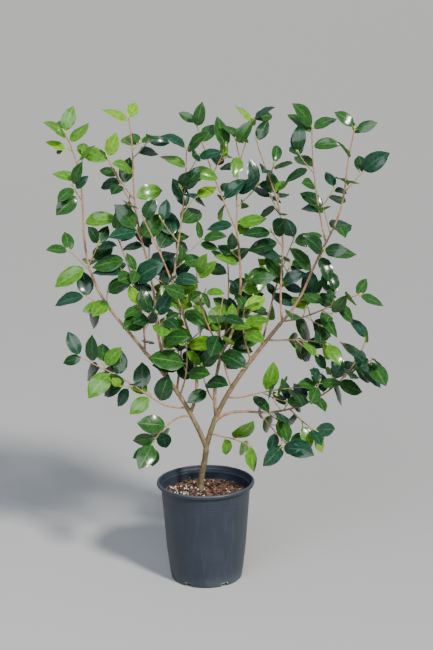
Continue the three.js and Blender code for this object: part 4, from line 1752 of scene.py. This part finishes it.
@dataclass
class Foliage:
    """The leaves, each a thin closed blade in its own outline, with their petioles and the buds."""

    growth: Growth
    stations: tuple[float, ...] = (0.0, 0.07, 0.19, 0.34, 0.5, 0.66, 0.8, 0.91, 1.0)
    outline: tuple[float, ...] = (0.06, 0.45, 0.82, 0.99, 0.99, 0.86, 0.6, 0.26, 0.015)
    across: tuple[float, ...] = (-1.0, -0.52, 0.0, 0.52, 1.0)
    thickness: float = 0.9
    low: float = 400.0
    high: float = 1250.0
    low_growth: float = 1.1
    high_growth: float = 1.12
    spare: float = 2.0
    least_kept: float = 0.67
    size: Spread = Spread(0.82, 0.36)
    bend: Spread = Spread(0.12, 0.6, span_rise=0.3)
    fold: Spread = Spread(4.0, 16.0, span_rise=12.0)
    width: Spread = Spread(0.56, 0.13, least_rise=-0.07)
    twist: Spread = Spread(-0.25, 0.5, -0.4, 0.8)
    twist_along: Pair = (0.4, 0.6)
    curl: float = 0.2
    ripple: float = 0.05
    ripples: float = 2.2
    young: float = 0.1
    young_on_top: float = 0.14
    top: float = 1150.0
    young_mass: float = 0.64
    young_sprays: float = 0.8
    young_tips: float = 0.5
    spray_weight: float = 0.65
    limits: tuple[float, ...] = (0.1, 0.3, 0.42, 0.62)
    petiole_radius: float = 1.25
    tucked: tuple[float, float] = (6.0, 1.1)
    more_buds: float = 2.6
    bud_spread: float = 0.55
    bud_gap: float = 2.0
    bud_sunk: float = 0.2
    bud_length: Pair = (8.0, 5.0)
    bud_radius: Pair = (1.7, 1.3)
    petiole_profile: Profile = ((0.0, 1.25), (0.25, 1.0), (0.62, 0.85), (1.0, 0.5))
    bud_profile: Profile = ((0.0, 0.45), (0.18, 0.9), (0.4, 1.0), (0.65, 0.72), (0.86, 0.36), (1.0, 0.06))
    petiole_finish: GreenFinish = GreenFinish("petiole", (0.26, 0.34, 0.07), (0.36, 0.4, 0.12))
    bud_finish: GreenFinish = GreenFinish("bud", (0.3, 0.42, 0.09), (0.4, 0.5, 0.16), 0.4)

    def tint_of(self, leaf: Leaf) -> Tint:
        """Deals a leaf its colour: by its spray, with a share of younger leaves at the tips.

        The limits are the shares of odd fresh leaves and of lime among the young ones, and where in the
        mixture of the spray's chance and the leaf's own the deep and the blue green ones end.

        Args:
            leaf: The leaf.

        Returns:
            Its colour.
        """
        fresh, lime, deep, blue = self.limits
        spray = chance(*leaf.stem.keys, Draw.SPRAY_TINT)
        one = chance(*leaf.stem.keys, leaf.order, Draw.LEAF_TINT)
        young = self.young + self.young_on_top * (leaf.root[2] > self.top)
        young += self.young_mass * (MASSES[leaf.stem.mass_id].name == YOUNG_MASS)
        if spray < young * self.young_sprays or (leaf.is_tip and one < young * self.young_tips):
            return Tint.LIME if one < lime else Tint.FRESH
        mixed = self.spray_weight * spray + (1 - self.spray_weight) * one
        if one < fresh:
            return Tint.FRESH
        if mixed < deep:
            return Tint.DEEP
        return Tint.BLUE if mixed < blue else Tint.MID

    def held_back(self, length: Array, root: Array, ahead: Array, face: Array, bend: Array) -> Array:
        """Holds back the blades whose bent tips would pass the solids' depth by more than a little.

        A tip lies sin(bend) / bend of the length ahead and (1 - cos(bend)) / bend of it behind the face.

        Args:
            length: The blades' lengths.
            root: Where they begin.
            ahead: Which way they point.
            face: Which way they face.
            bend: Their bend from foot to tip.

        Returns:
            The lengths, none cut by more than a third.
        """
        back = (ahead[:, 1] * np.sin(bend) - face[:, 1] * (1 - np.cos(bend))) / bend
        front_room, back_room = root[:, 1] - CAD_BOX[0][1] / METRE, CAD_BOX[1][1] / METRE - root[:, 1]
        room = (np.where(back > 0, back_room, front_room) + self.spare) / np.maximum(np.abs(back), 0.01)
        return np.clip(room, self.least_kept * length, length)

    def blades(self, leaves: Sequence[Leaf]) -> Shape:
        """Works out all blades of one colour at once.

        A blade is an arc of constant bend along its midrib, and twists about it. Across it each half rises
        from the midrib by the fold angle and curls back towards the margin by the cube of w, which runs
        from -1 to 1 across it, and the margin waves by a sine. The half width at a station is the
        outline's share. The under face lies below by the thickness times 1 - w squared, and meets the
        upper face at the margin.

        Args:
            leaves: The leaves.

        Returns:
            The joined shape with its UV map.
        """
        root, ahead, face, petiole, own_length = gathered(leaves)
        dice = np.array([[chance(*leaf.stem.keys, leaf.order, Draw.BLADE + k) for k in range(6)]
                         for leaf in leaves]).T
        height = np.clip((root[:, 2] - self.low) / (self.high - self.low), 0, 1)
        bend = self.bend.deal(height, dice[0])
        grown = self.low_growth + (self.high_growth - self.low_growth) * height
        grown = grown * self.size.deal(height, dice[5]) * own_length
        length = self.held_back(grown, root, ahead, face, bend)
        fold = np.radians(self.fold.deal(height, dice[1]))
        width = self.width.deal(height, dice[2])
        twist = self.twist.deal(height, dice[3])
        bend, petiole, length, fold, width, twist, start = (
            value[:, None, None] for value in (bend, petiole, length, fold, width, twist, dice[4]))

        length = length - petiole
        u = np.array(self.stations)[None, :, None]
        w = np.array(self.across)[None, None]
        half = 0.5 * length * width * np.array(self.outline)[None, :, None]
        twist = twist * (self.twist_along[0] + self.twist_along[1] * u)
        x = length * np.sin(bend * u) / bend + petiole
        drop = -length * (1 - np.cos(bend * u)) / bend
        rise = half * (np.abs(w) * np.sin(fold) - self.curl * np.abs(w) ** 3)
        rise = rise + self.ripple * half * w ** 2 * np.sin(ANY_TURN * (self.ripples * u + start) + w)
        root, ahead, face = (vector[:, None, None] for vector in (root, ahead, face))
        side = np.cross(ahead, face)

        def times(vector: Array, share: Array) -> Array:
            """Scales a vector by a number at each point."""
            return vector * (share + 0 * w)[..., None]

        normal = times(face, np.cos(bend * u)) + times(ahead, np.sin(bend * u))
        lateral = times(side, np.cos(twist)) + times(normal, np.sin(twist))
        normal = times(normal, np.cos(twist)) - times(side, np.sin(twist))
        upper = root + times(ahead, x) + times(face, drop) + times(lateral, half * w * np.cos(fold))
        upper = upper + times(normal, rise)
        under = (upper - times(normal, self.thickness * (1 - w ** 2)))[:, 1:-1, 1:-1]
        count, rows, columns = upper.shape[:3]
        points = np.concatenate([upper.reshape(count, -1, 3), under.reshape(count, -1, 3)], axis=1)
        below = np.arange(rows * columns).reshape(rows, columns)
        below[1:-1, 1:-1] = rows * columns + np.arange((rows - 2) * (columns - 2)).reshape(rows - 2, -1)
        quads = grid_faces(rows, columns, False)
        top = np.concatenate([quads[:, [2, 1, 0]], quads[:, [3, 2, 0]]])
        bottom = top[:, ::-1]
        flat_u = UV_ALONG[0] + UV_ALONG[1] * np.repeat(self.stations, columns)
        flat = np.stack([flat_u, UV_HALF * np.tile(self.across, rows)], axis=1)
        uv = np.concatenate([(flat + [0, UV_UPPER])[top], (flat + [0, UV_UNDER])[bottom]])
        return repeated(points, [np.concatenate([top, below.ravel()[bottom]])], uv)

    def sharpen(self, mesh: bpy.types.Mesh) -> None:
        """Marks the blades' margins as sharp, so that both faces shade as flat thin sheets.

        Args:
            mesh: The mesh of the blades of one colour.
        """
        rows, columns = len(self.stations), len(self.across)
        edges = np.zeros(2 * len(mesh.edges), np.int32)
        mesh.edges.foreach_get("vertices", edges)
        local = edges.reshape(-1, 2) % (rows * columns + (rows - 2) * (columns - 2))
        sharp = np.zeros(len(local), bool)
        for place, last in ((local // columns, rows - 1), (local % columns, columns - 1)):
            sharp |= (place[:, 0] == place[:, 1]) & np.isin(place[:, 0], (0, last))
        sharp &= (local < rows * columns).all(axis=1)
        mesh.attributes.new("sharp_edge", "BOOLEAN", "EDGE").data.foreach_set("value", sharp)

    def build_blades(self) -> None:
        """Builds the leaves, one piece for each colour."""
        dealt: dict[Tint, list[Leaf]] = {tint: [] for tint in Tint}
        for leaf in self.growth.leaves:
            dealt[self.tint_of(leaf)].append(leaf)
        for tint, leaves in dealt.items():
            material = LEAF_FINISHES[tint].make(f"leaf_{tint.value}")
            piece = put_mesh(f"leaves_{tint.value}", self.blades(leaves), material)
            self.sharpen(piece.data)
            own(piece, MASS_NODES)
            LOG.info("%s: %d leaves", tint.value, len(leaves))

    def build_petioles(self) -> None:
        """Builds the leaf stalks, each a short taper from its stem to a bit under its blade."""
        root, ahead, face, reach, _ = gathered(self.growth.leaves)
        further, under = self.tucked
        end = root + ahead * (reach + further)[:, None] - face * under
        radius = np.full(len(root), self.petiole_radius)
        shape = spindles(root, end, radius, self.petiole_profile, 6)
        own(put_mesh("petioles", shape, self.petiole_finish.make()), MASS_NODES)

    def build_buds(self) -> None:
        """Builds the pointed buds at the tips, one to three on each."""
        start, end, radius = [], [], []
        for stem in self.growth.stems:
            tip, way = along(stem.points, 1.0)
            across, over = sides(way)
            for k in range(1 + int(self.more_buds * chance(*stem.keys, Draw.BUD_COUNT))):
                roll = ANY_TURN * chance(*stem.keys, k, Draw.BUD_ROLL)
                aside = across * math.cos(roll) + over * math.sin(roll)
                direction = unit(way + aside * (self.bud_spread if k else 0.0))
                start.append(tip - way * self.bud_gap * (k + self.bud_sunk))
                end.append(start[-1] + direction * deal(self.bud_length, *stem.keys, k, Draw.BUD_LENGTH))
                radius.append(deal(self.bud_radius, *stem.keys, k, Draw.BUD_SIZE))
        shape = spindles(np.array(start), np.array(end), np.array(radius), self.bud_profile, 7)
        own(put_mesh("tip_buds", shape, self.bud_finish.make()), MASS_NODES)


def gathered(leaves: Sequence[Leaf]) -> Iterator[Array]:
    """Gives the leaves' roots, ways ahead, faces, petioles' lengths and own lengths as arrays."""
    return (np.array([getattr(leaf, name) for leaf in leaves])
            for name in ("root", "ahead", "face", "petiole", "length"))


@dataclass
class Studio:
    """The pale floor, the soft lights and the camera at the photograph's angle."""

    camera_place: Point = (0.0355, -3.68, 1.57)
    pitch: float = 12.8
    roll: float = 0.6
    focal_px: float = 1370.0
    image_height: float = 650.0
    sensor: float = 36.0
    clip_end: float = 100.0
    floor_rings: Profile = ((3e3, 0.0), (12e3, 0.0), (45e3, 4e3))
    floor_columns: int = 64
    floor_colour: Colour = (0.43, 0.43, 0.43)
    key_place: Point = (1.92, -2.4, 2.48)
    key_aim: Point = (0.0, 0.0, 0.0)
    key_angle: float = 9.0
    key_energy: float = 5.2
    key_colour: Colour = (1.0, 0.95, 0.88)
    panel_place: Point = (-0.9, -2.5, 2.7)
    panel_aim: Point = (0.0, 0.0, 0.7)
    panel_size: float = 2.2
    panel_energy: float = 85.0
    panel_colour: Colour = (0.86, 0.93, 1.0)
    surround: float = 0.7
    horizon: Colour = (0.14, 0.14, 0.145)
    overhead: Colour = (0.52, 0.58, 0.68)

    def build_camera(self) -> None:
        """Sets up the camera: it looks along +Y, tilted down, with a slight roll."""
        data = bpy.data.cameras.new("view")
        data.sensor_width = self.sensor
        data.lens = self.focal_px / self.image_height * self.sensor
        data.clip_end = self.clip_end
        camera = bpy.data.objects.new("view", data)
        tilt = Matrix.Rotation(math.radians(90 - self.pitch), 4, "X")
        level = Matrix.Rotation(math.radians(-self.roll), 4, "Z")
        camera.matrix_world = Matrix.Translation(Vector(self.camera_place)) @ tilt @ level
        bpy.context.scene.collection.objects.link(camera)
        bpy.context.scene.camera = camera

    def build_floor(self) -> None:
        """Lays the floor: a wide pale disc, whose outermost ring rises as a backdrop."""
        columns = self.floor_columns
        angle = circle(columns)
        radius, rise = np.array(self.floor_rings).T[:, :, None]
        rings = np.stack([radius * np.cos(angle), radius * np.sin(angle), rise + 0 * angle], axis=-1)
        middle = len(radius) * columns
        here = np.arange(columns)
        fan = np.stack([np.full(columns, middle), here, (here + 1) % columns], axis=1)
        points = np.concatenate([rings.reshape(-1, 3), np.zeros((1, 3))])
        shape = Shape(points, [fan, grid_faces(len(radius), columns, True)[:, ::-1]])
        shader = Shader("pale_floor", 0.8, 0.2)
        shader.set("Base Color", self.floor_colour)
        floor = put_mesh("floor", shape, shader.material)

    def hang(self, name: str, kind: str, place: Point, aim: Point, energy: float, colour: Colour,
             **sizes: float) -> None:
        """Hangs one lamp.

        Args:
            name: Its name.
            kind: Blender's kind of light.
            place: Where it hangs, in metres.
            aim: What it shines at.
            energy: Its strength.
            colour: Its colour.
            sizes: What else the kind of light has.
        """
        data = bpy.data.lights.new(name, kind)
        for key, value in {"energy": energy, "color": colour, **sizes}.items():
            setattr(data, key, value)
        lamp = bpy.data.objects.new(name, data)
        back = (Vector(place) - Vector(aim)).to_track_quat("Z", "Y")
        lamp.matrix_world = Matrix.Translation(Vector(place)) @ back.to_matrix().to_4x4()
        bpy.context.scene.collection.objects.link(lamp)

    def build_lights(self) -> None:
        """Sets a key like a soft sun from the right, a cool panel at the left and a surround.

        The surround goes smoothly from grey at the horizon to pale blue overhead.
        """
        self.hang("key", "SUN", self.key_place, self.key_aim, self.key_energy, self.key_colour,
                  angle=math.radians(self.key_angle))
        self.hang("panel", "AREA", self.panel_place, self.panel_aim, self.panel_energy, self.panel_colour,
                  size=self.panel_size)
        world = bpy.data.worlds.new("surround")
        world.use_nodes = True
        nodes = Nodes(world.node_tree)
        height = nodes.split(nodes.coordinates("Generated"))[2].step(0.1, 0.8)
        colour = nodes.mix(height, self.horizon, self.overhead)
        back = world.node_tree.nodes["Background"]
        nodes.feed(back.inputs["Color"], colour)
        nodes.feed(back.inputs["Strength"], self.surround)
        bpy.context.scene.world = world


def write_sizes() -> None:
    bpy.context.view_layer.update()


def main() -> None:
    """Builds every piece in order and reports each."""
    studio = Studio()
    studio.build_camera()
    studio.build_floor()
    studio.build_lights()
    Pot().build()
    PottingMix().build()
    growth = Growth()
    LOG.info("grown: %d stems and twigs, %d leaves", len(growth.stems), len(growth.leaves))
    Wood(growth).build()
    foliage = Foliage(growth)
    foliage.build_petioles()
    foliage.build_buds()
    foliage.build_blades()
    write_sizes()


if __name__ == "__main__":
    main()
